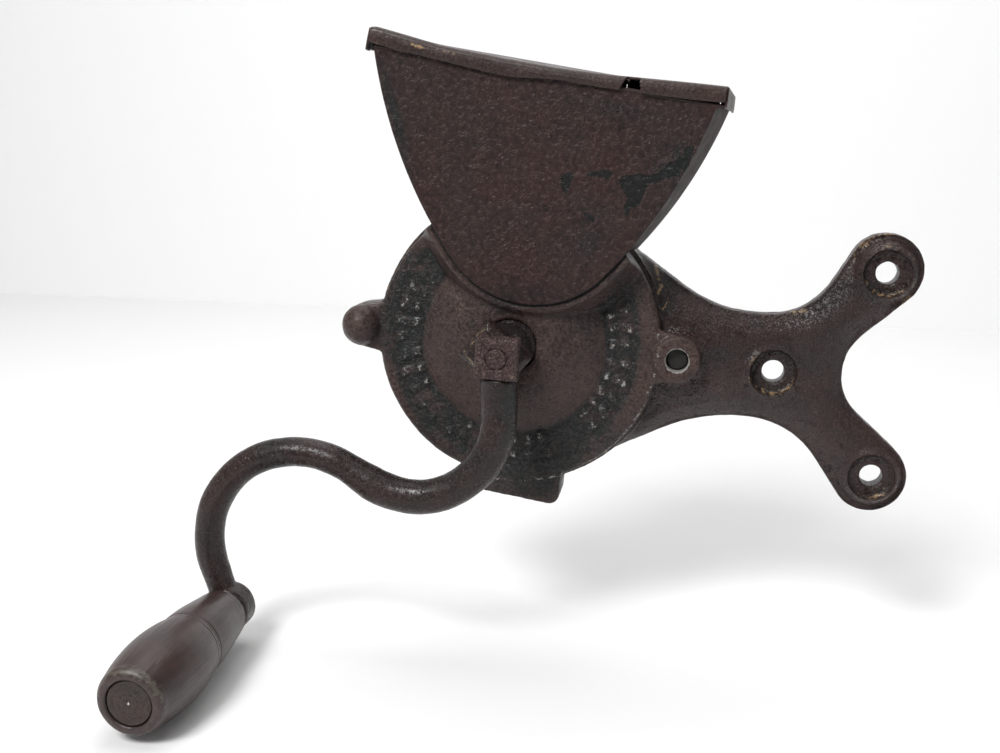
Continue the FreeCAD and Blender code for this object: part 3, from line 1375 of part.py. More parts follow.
def grip():
    """Turned wooden barrel, bored for the spindle and sunk at the end for its head."""
    body = new_body("grip")

    def at(distance):
        return "%s + %s" % (GRIP_START, distance)

    def turned_line(place):
        """Corners of one V-shaped line cut round the barrel."""
        belly = "Sizes.grip_belly_radius"
        return [(belly, at(place + " - Sizes.grip_line_half")), (belly + " - Sizes.grip_line", at(place)),
                (belly, at(place + " + Sizes.grip_line_half"))]

    bore = "Sizes.spindle_radius + Sizes.running_gap"
    base = "Sizes.grip_base_radius"
    sunk = "Sizes.spindle_head_radius + 3 * Sizes.fit_gap"
    seat = HEAD_START + " - 3 * Sizes.fit_gap"
    lines = turned_line("Sizes.grip_line_one") + turned_line("Sizes.grip_line_two")
    lines[-1] = lines[-1] + ("Sizes.grip_bow_end",)
    revolve(body, "grip_turned", [
        (bore, GRIP_START), (base + " - Sizes.grip_mouth", GRIP_START),
        (base, at("Sizes.grip_mouth")), (base, at("Sizes.grip_collar")),
        ("Sizes.grip_neck_radius", at("Sizes.grip_collar + Sizes.grip_step")),
        ("Sizes.grip_shoulder_radius", at("Sizes.grip_shoulder"), "Sizes.grip_bow")] + lines + [
        ("Sizes.grip_end_radius", GRIP_STOP + " - Sizes.grip_end_round", "Sizes.grip_end_bow"),
        ("Sizes.grip_face_radius", GRIP_STOP), (sunk, GRIP_STOP), (sunk, seat), (bore, seat)])
    place_on_eye(body, "grip")


grip()


def grip_spindle():
    """Iron pin peened into the arm's eye, with a round head sunk in the grip's end."""
    body = new_body("grip_spindle")
    back = "(Sizes.crank_plane - Sizes.eye_depth / 2)"
    peen = back + " - Sizes.spindle_peen"
    head_stop = HEAD_START + " + Sizes.spindle_head_depth"
    revolve(body, "spindle_turned", [
        ("0", peen), ("Sizes.spindle_rivet_radius - Sizes.spindle_rivet_bevel", peen),
        ("Sizes.spindle_rivet_radius", peen + " + Sizes.spindle_rivet_bevel"),
        ("Sizes.spindle_rivet_radius", back), ("Sizes.spindle_radius", back),
        ("Sizes.spindle_radius", HEAD_START), ("Sizes.spindle_head_radius", HEAD_START),
        ("Sizes.spindle_head_radius", head_stop), ("0", head_stop)])
    place_on_eye(body, "grip_spindle")


grip_spindle()


def grip_washer():
    body = new_body("grip_washer")
    stop = EYE_FRONT + " + Sizes.washer_depth"
    bore = "Sizes.spindle_radius + Sizes.fit_gap"
    revolve(body, "washer_turned", [(bore, EYE_FRONT), ("Sizes.washer_radius", EYE_FRONT),
                                    ("Sizes.washer_radius", stop), (bore, stop)])
    place_on_eye(body, "grip_washer")


grip_washer()

doc.recompute()

# Every object must have recomputed, and every sub-part must be a valid solid

for thing in doc.Objects:
    if "Invalid" in thing.State or "Error" in thing.State:
        raise RuntimeError("failed: %s %s" % (thing.Label, thing.State))
os.makedirs("parts", exist_ok=True)
for thing in subparts:
    shape = thing.Shape
    if shape.isNull() or not shape.isValid() or not shape.Solids:
        raise RuntimeError("bad shape: " + thing.Label)
    print("%-20s faces %d volume %.0f" % (thing.Label, len(shape.Faces), shape.Volume))
for thing in subparts:
    thing.Shape.exportStep("parts/%s.step" % thing.Label)
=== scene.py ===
import json

import bmesh
import bpy
import numpy as np
from mathutils import Matrix, Vector


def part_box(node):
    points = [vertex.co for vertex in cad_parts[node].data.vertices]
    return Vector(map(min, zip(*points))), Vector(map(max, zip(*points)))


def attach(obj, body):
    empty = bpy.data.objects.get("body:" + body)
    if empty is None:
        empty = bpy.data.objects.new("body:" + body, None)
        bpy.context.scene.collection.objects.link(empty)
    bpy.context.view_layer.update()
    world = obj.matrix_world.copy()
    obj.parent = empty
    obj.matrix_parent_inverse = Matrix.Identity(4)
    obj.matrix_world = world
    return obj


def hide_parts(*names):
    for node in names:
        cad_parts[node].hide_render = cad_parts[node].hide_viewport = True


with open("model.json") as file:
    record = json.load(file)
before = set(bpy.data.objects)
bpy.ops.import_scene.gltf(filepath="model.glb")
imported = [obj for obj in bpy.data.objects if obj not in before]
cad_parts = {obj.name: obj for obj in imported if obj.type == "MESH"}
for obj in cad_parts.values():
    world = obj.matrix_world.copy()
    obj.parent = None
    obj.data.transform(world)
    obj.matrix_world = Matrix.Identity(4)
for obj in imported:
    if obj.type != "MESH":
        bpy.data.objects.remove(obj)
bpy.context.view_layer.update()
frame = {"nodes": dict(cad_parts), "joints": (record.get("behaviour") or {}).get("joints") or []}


# Back casting: the dish behind the burrs, its neck and the fork of two screw lobes.
# Grey iron poured in sand, so its edges are soft and its skin pebbled. It was dipped in
# brown japan, which hands, screws and the wall have worn through along the raised edges.

def lattice_noise(points, cell, seed):
    """Smooth random height from -1 to 1 at each point.

    Random numbers stand on a cubic lattice of the given cell, and each point blends its eight
    corners by the smoothstep of its place in the cell.
    """
    place = points / cell + 1000.0
    base = np.floor(place).astype(np.int64)
    part = place - base
    part = part * part * (3 - 2 * part)
    height = np.zeros(len(points))
    primes = np.array([73856093, 19349663, 83492791], np.uint64)
    for corner in np.ndindex(2, 2, 2):
        mixed = np.bitwise_xor.reduce((base + corner).astype(np.uint64) * primes, axis=1)
        mixed = (mixed + np.uint64(seed * 7919)) * np.uint64(2654435761)
        mixed = (mixed ^ (mixed >> np.uint64(15))) * np.uint64(2246822519)
        number = ((mixed >> np.uint64(9)) & np.uint64(0xFFFF)).astype(float) / 32767.5 - 1
        share = np.prod(np.where(np.array(corner) == 1, part, 1 - part), axis=1)
        height += number * share
    return height


def spread(mesh, values, rounds):
    """Average of each vertex and its neighbours, taken over and over along the mesh's edges."""
    ends = np.empty(len(mesh.edges) * 2, np.int32)
    mesh.edges.foreach_get("vertices", ends)
    first, second = ends[0::2], ends[1::2]
    count = len(mesh.vertices)
    weight = np.bincount(first, minlength=count) + np.bincount(second, minlength=count) + 1.0
    for _ in range(rounds):
        total = values.copy()
        for axis in range(values.shape[1]):
            total[:, axis] += np.bincount(first, values[second, axis], count)
            total[:, axis] += np.bincount(second, values[first, axis], count)
        values = total / weight[:, None]
    return values


def points_of(mesh):
    """A mesh's vertices and their normals as two arrays."""
    places = np.empty(len(mesh.vertices) * 3)
    normals = np.empty(len(mesh.vertices) * 3)
    mesh.vertices.foreach_get("co", places)
    mesh.vertices.foreach_get("normal", normals)
    return places.reshape(-1, 3), normals.reshape(-1, 3)


def write_masks(mesh, **masks):
    """Store named masks, one number from 0 to 1 per vertex, for the materials to read."""
    for name, values in masks.items():
        mask = mesh.attributes.get(name) or mesh.attributes.new(name, "FLOAT", "POINT")
        mask.data.foreach_set("value", np.clip(values, 0, 1).astype(np.float32))


def read_mask(mesh, name):
    """The numbers of a mask, one per vertex."""
    values = np.empty(len(mesh.vertices), np.float32)
    mesh.attributes[name].data.foreach_get("value", values)
    return values


def mark_wear(mesh, reach, rounds):
    """Write the masks edge and hollow: how far a vertex stands out of its surroundings, or sinks in."""
    places, normals = points_of(mesh)
    stand = np.einsum("ij,ij->i", places - spread(mesh, places, rounds), normals)
    stand = spread(mesh, stand[:, None], 2)[:, 0]
    write_masks(mesh, edge=stand / reach, hollow=-stand / reach)


def add_object(name, data):
    """Put a new object into the scene."""
    added = bpy.data.objects.new(name, data)
    bpy.context.scene.collection.objects.link(added)
    return added


def worn_copy(node, cell, rounding, shape_skin, reach):
    """Close-meshed copy of a node's solid with its edges worn round and its skin made uneven.

    The solid is remeshed in cells, each vertex is averaged with its neighbours a number of rounds,
    and shape_skin gives the height that each point then moves along its normal.
    """
    mesh = frame["nodes"][node].data.copy()
    shell = bmesh.new()
    shell.from_mesh(mesh)
    bmesh.ops.remove_doubles(shell, verts=shell.verts, dist=1e-6)
    shell.to_mesh(mesh)
    shell.free()
    rough = add_object(node + "_solid", mesh)
    remesh = rough.modifiers.new("close_mesh", "REMESH")
    remesh.mode = "VOXEL"
    remesh.voxel_size = cell
    bpy.context.view_layer.update()
    fine = bpy.data.meshes.new_from_object(rough.evaluated_get(bpy.context.evaluated_depsgraph_get()))
    bpy.data.objects.remove(rough)
    places, _ = points_of(fine)
    fine.vertices.foreach_set("co", spread(fine, places, rounding).ravel())
    fine.update()
    places, normals = points_of(fine)
    places = places + normals * shape_skin(places, normals)[:, None]
    fine.vertices.foreach_set("co", places.ravel())
    fine.materials.clear()
    fine.shade_smooth()
    fine.update()
    mark_wear(fine, reach, 12)
    piece = add_object(node + "_worn", fine)
    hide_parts(node)
    return piece


def on_front(normals):
    """Mask that is 1 where a surface faces the front and fades at its sides."""
    return np.clip(0.5 - normals[:, 1] * 3, 0, 1)


def spots(mesh, rows):
    """Mask of spots on the front of a piece.

    Each row is a spot's middle x and z, half width, half height, turn in degrees and strength, the
    lengths in millimetres. A spot is the bell curve of the distance from its middle, measured in its
    own turned and stretched plane.
    """
    places, normals = points_of(mesh)
    mask = np.zeros(len(places))
    for x, z, wide, high, turn, strength in rows:
        across, up = places[:, 0] * 1000 - x, places[:, 2] * 1000 - z
        lean = np.radians(turn)
        along = (across * np.cos(lean) + up * np.sin(lean)) / wide
        aside = (up * np.cos(lean) - across * np.sin(lean)) / high
        mask += strength * np.exp(-along ** 2 - aside ** 2)
    return mask * on_front(normals)


def rings(mesh, rows):
    """Mask of rubbed rims round holes in the front.

    Each row is a rim's middle x and z, radius, half width, the direction in degrees where it is
    strongest, and strength. It fades as the bell curve of the distance from the circle, and with the
    cosine of the angle from that direction.
    """
    places, normals = points_of(mesh)
    mask = np.zeros(len(places))
    for x, z, radius, wide, turn, strength in rows:
        across, up = places[:, 0] * 1000 - x, places[:, 2] * 1000 - z
        off = (np.hypot(across, up) - radius) / wide
        side = 0.5 + 0.5 * np.cos(np.arctan2(up, across) - np.radians(turn))
        mask += strength * np.exp(-off ** 2) * side ** 2
    return mask * on_front(normals)


def feed(tree, socket, value):
    """Link a socket to the one given, or set it to a plain value."""
    if isinstance(value, bpy.types.NodeSocket):
        tree.links.new(value, socket)
    else:
        socket.default_value = value


def new_node(tree, kind, group=None, **inputs):
    """Add a shader node, or a group where one is given, and feed each of its named inputs."""
    node = tree.nodes.new(kind)
    if group:
        node.node_tree = group
    for name, value in inputs.items():
        feed(tree, node.inputs[name.replace("_", " ")], value)
    return node


def noise(tree, coordinates, scale, detail=4.0, roughness=0.55, distortion=0.0):
    """Fractal noise from 0 to 1; scale counts the grains in a metre."""
    return new_node(tree, "ShaderNodeTexNoise", Vector=coordinates, Scale=scale, Detail=detail,
                    Roughness=roughness, Distortion=distortion).outputs["Fac"]


def ramp(tree, value, low, high, bottom=0.0, top=1.0):
    """Bring a value's stretch from low to high onto bottom to top, clamped."""
    return new_node(tree, "ShaderNodeMapRange", Value=value, From_Min=low, From_Max=high,
                    To_Min=bottom, To_Max=top).outputs[0]


def maths(tree, operation, first, second, clamp=True):
    """Sum, difference, product or larger of two numbers, kept from 0 to 1 if clamp is on."""
    node = tree.nodes.new("ShaderNodeMath")
    node.operation = operation
    node.use_clamp = clamp
    feed(tree, node.inputs[0], first)
    feed(tree, node.inputs[1], second)
    return node.outputs[0]


def times(tree, first, second, clamp=True):
    """Product of two numbers."""
    return maths(tree, "MULTIPLY", first, second, clamp)


def blend_colour(tree, share, under, over):
    """Lay one colour over another where share is 1."""
    node = tree.nodes.new("ShaderNodeMix")
    node.data_type = "RGBA"
    feed(tree, node.inputs[0], share)
    for number, colour in ((6, under), (7, over)):
        feed(tree, node.inputs[number], (*colour, 1) if isinstance(colour, tuple) else colour)
    return node.outputs[2]


def read_masks(tree, *names):
    """Sockets that carry the masks of a mesh."""
    readers = [tree.nodes.new("ShaderNodeAttribute") for _ in names]
    for reader, name in zip(readers, names):
        reader.attribute_name = name
    return [reader.outputs["Fac"] for reader in readers]


def new_material(name, shine):
    """Empty material: itself, its tree, its shader and the piece's own coordinates."""
    material = bpy.data.materials.new(name)
    material.use_nodes = True
    tree = material.node_tree
    shader = tree.nodes["Principled BSDF"]
    shader.inputs["Specular IOR Level"].default_value = shine
    return material, tree, shader, tree.nodes.new("ShaderNodeTexCoord").outputs["Object"]


def new_group(name, inputs, outputs):
    """Empty shader group: inputs are (name, kind, default) rows, outputs are names of numbers."""
    group = bpy.data.node_groups.new(name, "ShaderNodeTree")
    for label, kind, value in inputs:
        socket = group.interface.new_socket(label, in_out="INPUT", socket_type=kind)
        if value is not None:
            socket.default_value = value
    for label in outputs:
        group.interface.new_socket(label, in_out="OUTPUT", socket_type="NodeSocketFloat")
    return group, group.nodes.new("NodeGroupInput").outputs, group.nodes.new("NodeGroupOutput").inputs


def build_paint_loss():
    """Where old paint has gone: rubbed and raised edges, flaked patches, and dirt and painted shade in the
    hollows.
    """
    group, given, result = new_group(
        "paint loss",
        [("Position", "NodeSocketVector", None), ("Edge", "NodeSocketFloat", 0.0),
         ("Hollow", "NodeSocketFloat", 0.0), ("Rubbed", "NodeSocketFloat", 0.0),
         ("Patch Scale", "NodeSocketFloat", 60.0), ("Patch Level", "NodeSocketFloat", 0.6),
         ("Edge Level", "NodeSocketFloat", 0.4)],
        ["Worn", "Flaked", "Lip", "Dirt And Shade"])
    place = given["Position"]
    grain = noise(group, place, 420.0, 5.0, 0.7)
    edge = times(group, given["Edge"], ramp(group, grain, 0.42, 0.62))
    edge = ramp(group, maths(group, "SUBTRACT", edge, given["Edge Level"]), 0.0, 0.25)
    streak = ramp(group, noise(group, place, 640.0, 4.0, 0.75), 0.34, 0.68)
    # The rubbed mask is real wear, and on some pieces also painted highlights and glints.
    rubbed = ramp(group, maths(group, "SUBTRACT", given["Rubbed"], streak), 0.0, 0.2)
    group.links.new(maths(group, "MAXIMUM", edge, rubbed), result["Worn"])
    patch = noise(group, place, given["Patch Scale"], 8.0, 0.66, 0.4)
    gone = maths(group, "SUBTRACT", patch, given["Patch Level"], False)
    flaked = ramp(group, gone, 0.0, 0.02)
    group.links.new(flaked, result["Flaked"])
    lip = maths(group, "SUBTRACT", ramp(group, gone, -0.035, -0.01), flaked)
    group.links.new(times(group, lip, ramp(group, grain, 0.4, 0.6)), result["Lip"])
    # Darkening in the hollows: dirt, and painted shade in the recesses and gaps that the hollow mask marks.
    dirt_and_shade = maths(group, "ADD", given["Hollow"], ramp(group, grain, 0.45, 0.75, 0.0, 0.3))
    group.links.new(dirt_and_shade, result["Dirt And Shade"])
    return group


def build_cast_skin():
    """Sand-cast skin: pebbles, more of them where grit is, and pits, with light and dark specks, a painted
    highlight on the pebbles' tops and painted shade between them.
    """
    group, given, result = new_group(
        "cast skin",
        [("Position", "NodeSocketVector", None), ("Grit", "NodeSocketFloat", 0.0),
         ("Pebbles", "NodeSocketFloat", 900.0), ("Pits", "NodeSocketFloat", 350.0)],
        ["Height", "Light", "Specks And Shade"])
    place = given["Position"]
    pebble = noise(group, place, given["Pebbles"], 2.0, 0.5, 0.3)
    lifted = maths(group, "ADD", pebble, times(group, given["Grit"], 0.1))
    raised = ramp(group, lifted, 0.53, 0.69)
    deep = ramp(group, noise(group, place, given["Pits"], 6.0, 0.65), 0.40, 0.3)
    grain = noise(group, place, 1500.0, 3.0, 0.6)
    strength = maths(group, "ADD", 0.5, times(group, given["Grit"], 0.6), False)
    height = times(group, raised, strength, False)
    height = maths(group, "SUBTRACT", height, times(group, deep, 0.6), False)
    height = maths(group, "ADD", height, times(group, grain, 0.22), False)
    group.links.new(height, result["Height"])
    # Light specks, and a painted highlight on the raised pebbles' tops.
    light = maths(group, "ADD", ramp(group, grain, 0.56, 0.72, 0.0, 0.26),
                  times(group, raised, 0.12))
    # Dark specks, painted shade on the low ground between the pebbles, and dark pits.
    dark = maths(group, "ADD", ramp(group, grain, 0.46, 0.30, 0.0, 0.35),
                 ramp(group, lifted, 0.48, 0.36, 0.0, 0.5))
    dark = maths(group, "MAXIMUM", dark, times(group, deep, 0.7))
    group.links.new(light, result["Light"])
    group.links.new(dark, result["Specks And Shade"])
    return group


paint_loss = build_paint_loss()
cast_skin = build_cast_skin()


def old_iron(name, paint, second_paint, bare, bright, gloss, patch=(60.0, 0.62), edge_level=0.25,
             pebbles=750.0, pits=300.0, relief=0.0003, fleck_and_highlight=(0.13, 0.082, 0.072), green=0.4, shine=0.25):
    """Iron under old japan: two tones of paint, dark flaked patches, bright worn edges and painted
    highlights, pebbles, and dirt and painted shade in the hollows.

    patch is the scale and the level of the flaked patches, pebbles and pits count the grains in a
    metre, relief is the skin's height, green is the share of tarnish and shine is the mirror share.
    """
    material, tree, shader, place = new_material(name, shine)
    edge, hollow, gone, rubbed, grit, tarnished = read_masks(
        tree, "edge", "hollow", "gone", "rubbed", "grit", "tarnished")
    level = maths(tree, "SUBTRACT", patch[1], gone)
    loss = new_node(tree, "ShaderNodeGroup", paint_loss, Position=place, Edge=edge, Hollow=hollow,
                    Rubbed=rubbed, Patch_Scale=patch[0], Patch_Level=level, Edge_Level=edge_level)
    skin = new_node(tree, "ShaderNodeGroup", cast_skin, Position=place, Grit=grit, Pebbles=pebbles,
                    Pits=pits)
    coat = ramp(tree, noise(tree, place, 38.0, 6.0, 0.6), 0.4, 0.62)
    colour = blend_colour(tree, coat, paint, second_paint)
    cloud = noise(tree, place, 95.0, 6.0, 0.7)
    tarnish = times(tree, tarnished, ramp(tree, cloud, 0.3, 0.5))
    tarnish = maths(tree, "MAXIMUM", tarnish, ramp(tree, cloud, 0.5, 0.7, 0.0, green))
    colour = blend_colour(tree, tarnish, colour, green_black)
    # Light specks and painted highlights on the pebbles, then the flakes' pale lips, then dark specks and
    # painted shade between the pebbles.
    colour = blend_colour(tree, skin.outputs["Light"], colour, fleck_and_highlight)
    colour = blend_colour(tree, times(tree, loss.outputs["Flaked"], 0.92), colour, bare)
    colour = blend_colour(tree, times(tree, loss.outputs["Lip"], 0.6), colour, fleck_and_highlight)
    colour = blend_colour(tree, skin.outputs["Specks And Shade"], colour, pit_and_shade_brown)
    # Dirt and painted shade in the hollows, then worn edges and painted highlights in the bright colour.
    colour = blend_colour(tree, times(tree, loss.outputs["Dirt And Shade"], 0.9), colour, dirt_and_shade_brown)
    colour = blend_colour(tree, loss.outputs["Worn"], colour, bright)
    tree.links.new(colour, shader.inputs["Base Color"])
    rough = ramp(tree, noise(tree, place, 160.0, 5.0, 0.6), 0.3, 0.7, gloss - 0.08, gloss + 0.12)
    rough = maths(tree, "SUBTRACT", rough, times(tree, loss.outputs["Flaked"], 0.1))
    tree.links.new(rough, shader.inputs["Roughness"])
    bump = new_node(tree, "ShaderNodeBump", Height=skin.outputs["Height"], Strength=1.0, Distance=relief)
    step = new_node(tree, "ShaderNodeBump", Height=loss.outputs["Flaked"], Strength=1.0,
                    Distance=paint_thickness, Normal=bump.outputs["Normal"])
    step.invert = True
    tree.links.new(step.outputs["Normal"], shader.inputs["Normal"])
    return material


green_black = (0.014, 0.017, 0.017)
pit_and_shade_brown = (0.008, 0.006, 0.006)
dirt_and_shade_brown = (0.006, 0.005, 0.005)
paint_thickness = 0.0003
brown_japan = (0.042, 0.022, 0.019)
dull_japan = (0.030, 0.019, 0.017)
black_iron = (0.010, 0.012, 0.012)
ochre_wear = (0.22, 0.145, 0.080)
bracket_tarnish = [(-23, 6, 7, 4, 0, 0.9), (20, 31, 10, 5, 45, 0.7), (34, 33, 5, 6, 0, 0.8),
                   (5, -12, 12, 6, 0, 0.5), (-42, 30, 4, 12, -15, 0.8)]
bracket_rubbed = [(-46.6, 38.5, 0.7, 4.5, 14, 1.15), (-45, 31.5, 0.7, 3.0, -25, 0.9),
                  (-42.8, 25, 0.6, 3.5, -20, 0.6), (8.5, 24, 4.5, 1.0, 12, 0.7), (31, 51, 5, 1.2, 38, 0.75),
                  (39.5, 54.6, 4, 1.1, 8, 0.7), (26.5, 45, 3, 1.5, 45, 0.5), (48, 29.5, 3.5, 1.6, 42, 0.6),
                  (43, -47, 5, 1.5, 35, 0.4)]
seat_rubbed = [(40, 40, 8.4, 0.55, -100, 0.8), (0, 0, 8.4, 0.6, -80, 0.85), (40, -40, 8.4, 0.5, -110, 0.4)]
bracket_grit = [(-28, 14, 17, 12, -15, 1.0), (-5, 20, 16, 9, 0, 1.0), (20, 30, 14, 8, 45, 0.8),
                (40, 42, 12, 12, 0, 0.4)]
kept_level = ((40, 40), (0, 0), (40, -40), (-37, 5.2))


def casting_skin(places, normals):
    """Hand-made sand mould: long swells, and lumps of a few grains."""
    swell = lattice_noise(places, 0.017, 3) * 0.00022
    lumps = lattice_noise(places, 0.0045, 5) * 0.00012 + lattice_noise(places, 0.0019, 9) * 0.00008
    return swell + lumps


def crown(mesh, rounds, seats):
    """Let the front's height fall away towards the outline, as a pattern rubbed down with a strip does.

    Each front vertex takes the average depth of its neighbours over many rounds, except near the
    seats, whose middles are given as x and z in millimetres. The back ends at the wall.
    """
    places, normals = points_of(mesh)
    level = spread(mesh, places[:, 1:2], rounds)[:, 0]
    share = np.clip(-normals[:, 1] * 1.6, 0, 1) * np.clip((places[:, 0] + 0.060) / 0.020, 0, 1)
    for x, z in seats:
        reach = np.hypot(places[:, 0] * 1000 - x, places[:, 2] * 1000 - z)
        share *= np.clip((reach - 9.0) / 3.5, 0, 1)
    places[:, 1] += np.clip((level - places[:, 1]) * 1.7, 0, 0.0045) * share
    places[:, 1] = np.minimum(places[:, 1], 0)
    mesh.vertices.foreach_set("co", places.ravel())
    mesh.update()


back = worn_copy("back_casting", 0.00075, 5, casting_skin, 0.0009)
crown(back.data, 190, kept_level)
write_masks(back.data, tarnished=spots(back.data, bracket_tarnish), grit=spots(back.data, bracket_grit),
            rubbed=spots(back.data, bracket_rubbed) + rings(back.data, seat_rubbed))
back.data.materials.append(old_iron(
    "japanned back casting", brown_japan, dull_japan, black_iron, ochre_wear, 0.34,
    patch=(60.0, 0.72), pebbles=1000.0, relief=0.0009, green=0.6, shine=0.42))
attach(back, "mill_body")


# Front cover: one casting with the domed shaft boss, a sunk rough band round it, two ears,
# the spout's front and the ledge that the hopper stands in. The dome is smoother than the
# rest, and the band holds lumpy sand-cast relief with dark paint left between the lumps
# and painted glints on their tops. A painted highlight runs along the lower rim, and a
# painted shadow lines the hopper plate's foot.

shaft_joint = next(joint for joint in frame["joints"] if joint["name"] == "crank_turn")
shaft_x, _, shaft_z = shaft_joint["pos_m"]
cover_face = -0.021
cover_brown = (0.066, 0.040, 0.035)
cover_dull = (0.052, 0.034, 0.030)
cover_wear_and_glint = (0.27, 0.26, 0.245)
cover_fleck_and_highlight = (0.15, 0.11, 0.10)
band_inner, band_middle, band_outer = 0.036, 0.0428, 0.0495
nub_count, nub_height = 40, 0.0012
groove_width, groove_depth = 0.0007, 0.0006
foot_x, foot_z = -0.0956, 0.0265
foot_forward = 0.0318
plate_tilt = np.radians(3.7)
plate_lean = np.radians(5.1)
rim_slope = np.radians(9.5)
plate_height = 0.0849
nose_radius, side_radius = 0.037, 0.175
nose_turn = np.radians(50.8)
cover_tarnish = [(-144, 20, 10, 16, 0, 1.0), (-142, 38, 9, 10, 0, 0.9), (-81, -33, 34, 10, 8, 1.0),
                 (-58, 30, 7, 12, -15, 0.9), (-93, -47, 20, 9, 0, 1.0), (-132, -26, 14, 12, -45, 0.9),
                 (-152, 12, 5, 10, 0, 0.9), (-104, 26, 8, 5, 0, 0.5), (-74, 14, 9, 16, 0, 0.6)]
cover_grit = [(-58, 27, 6, 13, 10, 1.0), (-138, 22, 8, 18, 0, 0.6), (-70, -25, 22, 10, 30, 0.6),
              (-110, -33, 22, 8, 0, 0.7), (-48, 10, 6, 12, 0, 0.5), (-132, -18, 12, 12, 0, 0.6)]
# Rubbed rims round the right ear's hole, and a painted highlight as a thin line along the cover's lower
# right rim.
ear_wear_and_rim_highlight = [(-37.0, 5.2, 4.3, 0.5, -70, 2.4), (-37.0, 5.2, 4.3, 0.5, 110, 2.0),
              (-101.5, 9.5, 57.0, 0.6, -55, 0.55)]


def on_front_plane(across, up, forward):
    """Points of the hopper's front plane, which leans forward by plate_tilt.

    across runs to the bracket and up rises along the plane, from the plate's lowest point. forward
    is the distance from the wall there.
    """
    return np.stack([foot_x + across, -(forward + up * np.sin(plate_tilt)),
                     foot_z + up * np.cos(plate_tilt)], axis=-1)


def shield(grow, rim_steps, side_steps, nose_steps):
    """Outline of the plate, across and up from its foot, clockwise from the left rim corner.

    The rim is straight, each side is an arc of side_radius, and the nose is an arc of nose_radius
    whose ends are tangent to the sides, as their middles lie on one line. All leans by plate_lean.
    """
    nose, side = nose_radius + grow, side_radius + grow
    shift = side - nose
    middle_x, middle_z = shift * np.sin(nose_turn), nose_radius + shift * np.cos(nose_turn)
    slope = rim_slope - plate_lean
    run = np.array([np.cos(slope), -np.sin(slope)])
    tips = []
    for way in (-1, 1):
        start = np.array([way * middle_x, plate_height - middle_z])
        along = start @ run
        reach = way * np.sqrt(along ** 2 - start @ start + side ** 2) - along
        tips.append(np.array([0, plate_height]) + run * reach)
    left, right = tips
    share = np.linspace(0, 1, rim_steps, endpoint=False)[:, None]
    rim = left + (right - left) * share

    def arc(centre_x, centre_z, radius, first, last, steps):
        """Points at even angles from first up to last."""
        turn = np.linspace(first, last, steps, endpoint=False)
        return np.stack([centre_x + radius * np.cos(turn), centre_z + radius * np.sin(turn)], axis=1)

    right_top = np.arctan2(right[1] - middle_z, right[0] + middle_x)
    left_top = np.arctan2(left[1] - middle_z, left[0] - middle_x)
    low = nose_turn - np.pi / 2
    outline = np.concatenate([
        rim, arc(-middle_x, middle_z, side, right_top, low, side_steps),
        arc(0, nose_radius, nose, low, -np.pi - low, nose_steps),
        arc(middle_x, middle_z, side, -np.pi - low, left_top - 2 * np.pi * (left_top > 0), side_steps)])
    sine, cosine = np.sin(plate_lean), np.cos(plate_lean)
    return outline @ np.array([[cosine, -sine], [sine, cosine]])


def distance_to(places, line):
    """Distance in the front view from each point to the closest of a line's points."""
    gap = np.full(len(places), 1.0)
    x, y, z = places.T
    near = np.flatnonzero((x > line[:, 0].min() - 0.004) & (x < line[:, 0].max() + 0.004)
                          & (z < foot_z + 0.05) & (y < -0.022))
    for some in np.array_split(near, max(1, len(near) // 4000)):
        gap[some] = np.hypot(x[some, None] - line[:, 0], z[some, None] - line[:, 2]).min(axis=1)
    return gap


plate_line = on_front_plane(*shield(0.0004, 40, 160, 160).T, foot_forward)


def cover_skin(places, normals):
    """The castings' unevenness, worn nubs raised in the band, and a groove along the plate's foot.

    The nubs are a wave round the shaft, broken up by noise that also shifts their places, and the
    groove is the bell curve of the distance from the plate's outline.
    """
    shift = np.stack([lattice_noise(places, 0.005, seed) for seed in (61, 62, 63)], axis=1)
    shifted = places + shift * 0.0012
    across, up = shifted[:, 0] - shaft_x, shifted[:, 2] - shaft_z
    reach = np.hypot(across, up)
    in_band = (np.clip((reach - band_inner - 0.0014) / 0.001, 0, 1)
               * np.clip((band_outer - 0.0014 - reach) / 0.001, 0, 1))
    facing = np.clip(-normals[:, 1] * 4 - 2.6, 0, 1) * (np.abs(places[:, 1] - cover_face) < 0.002)
    wave = np.clip(np.cos(np.arctan2(up, across) * nub_count) * 2.2 + 0.5, 0, 1)
    row = np.clip(np.abs(reach - band_middle) / 0.0016 - 0.3, 0, 1)
    broken = np.clip(lattice_noise(places, 0.0075, 31) * 2.5 + 0.7, 0, 1)
    relief = wave * (0.4 + 0.6 * row) * broken * nub_height
    relief = relief + lattice_noise(places, 0.0021, 33) * 0.00028
    groove = np.exp(-(distance_to(places, plate_line) / groove_width) ** 2)
    groove = groove * np.clip(-normals[:, 1] * 2 - 0.5, 0, 1) * groove_depth
    return casting_skin(places, normals) * 0.8 + in_band * facing * relief - groove


cover = worn_copy("front_cover", 0.00062, 4, cover_skin, 0.0008)
cover_places, _ = points_of(cover.data)
cover_reach = np.hypot(cover_places[:, 0] - shaft_x, cover_places[:, 2] - shaft_z)
on_band = (np.clip((cover_reach - band_inner) / 0.002, 0, 1)
           * np.clip((band_outer + 0.002 - cover_reach) / 0.002, 0, 1)
           * (cover_places[:, 1] < -0.019) * (cover_places[:, 1] > -0.0225))
# Painted shadow: a dark line on the cover along the hopper plate's foot, where the plate's edge stands off
# it.
foot_shadow = np.exp(-(distance_to(cover_places, plate_line) / 0.0008) ** 2)
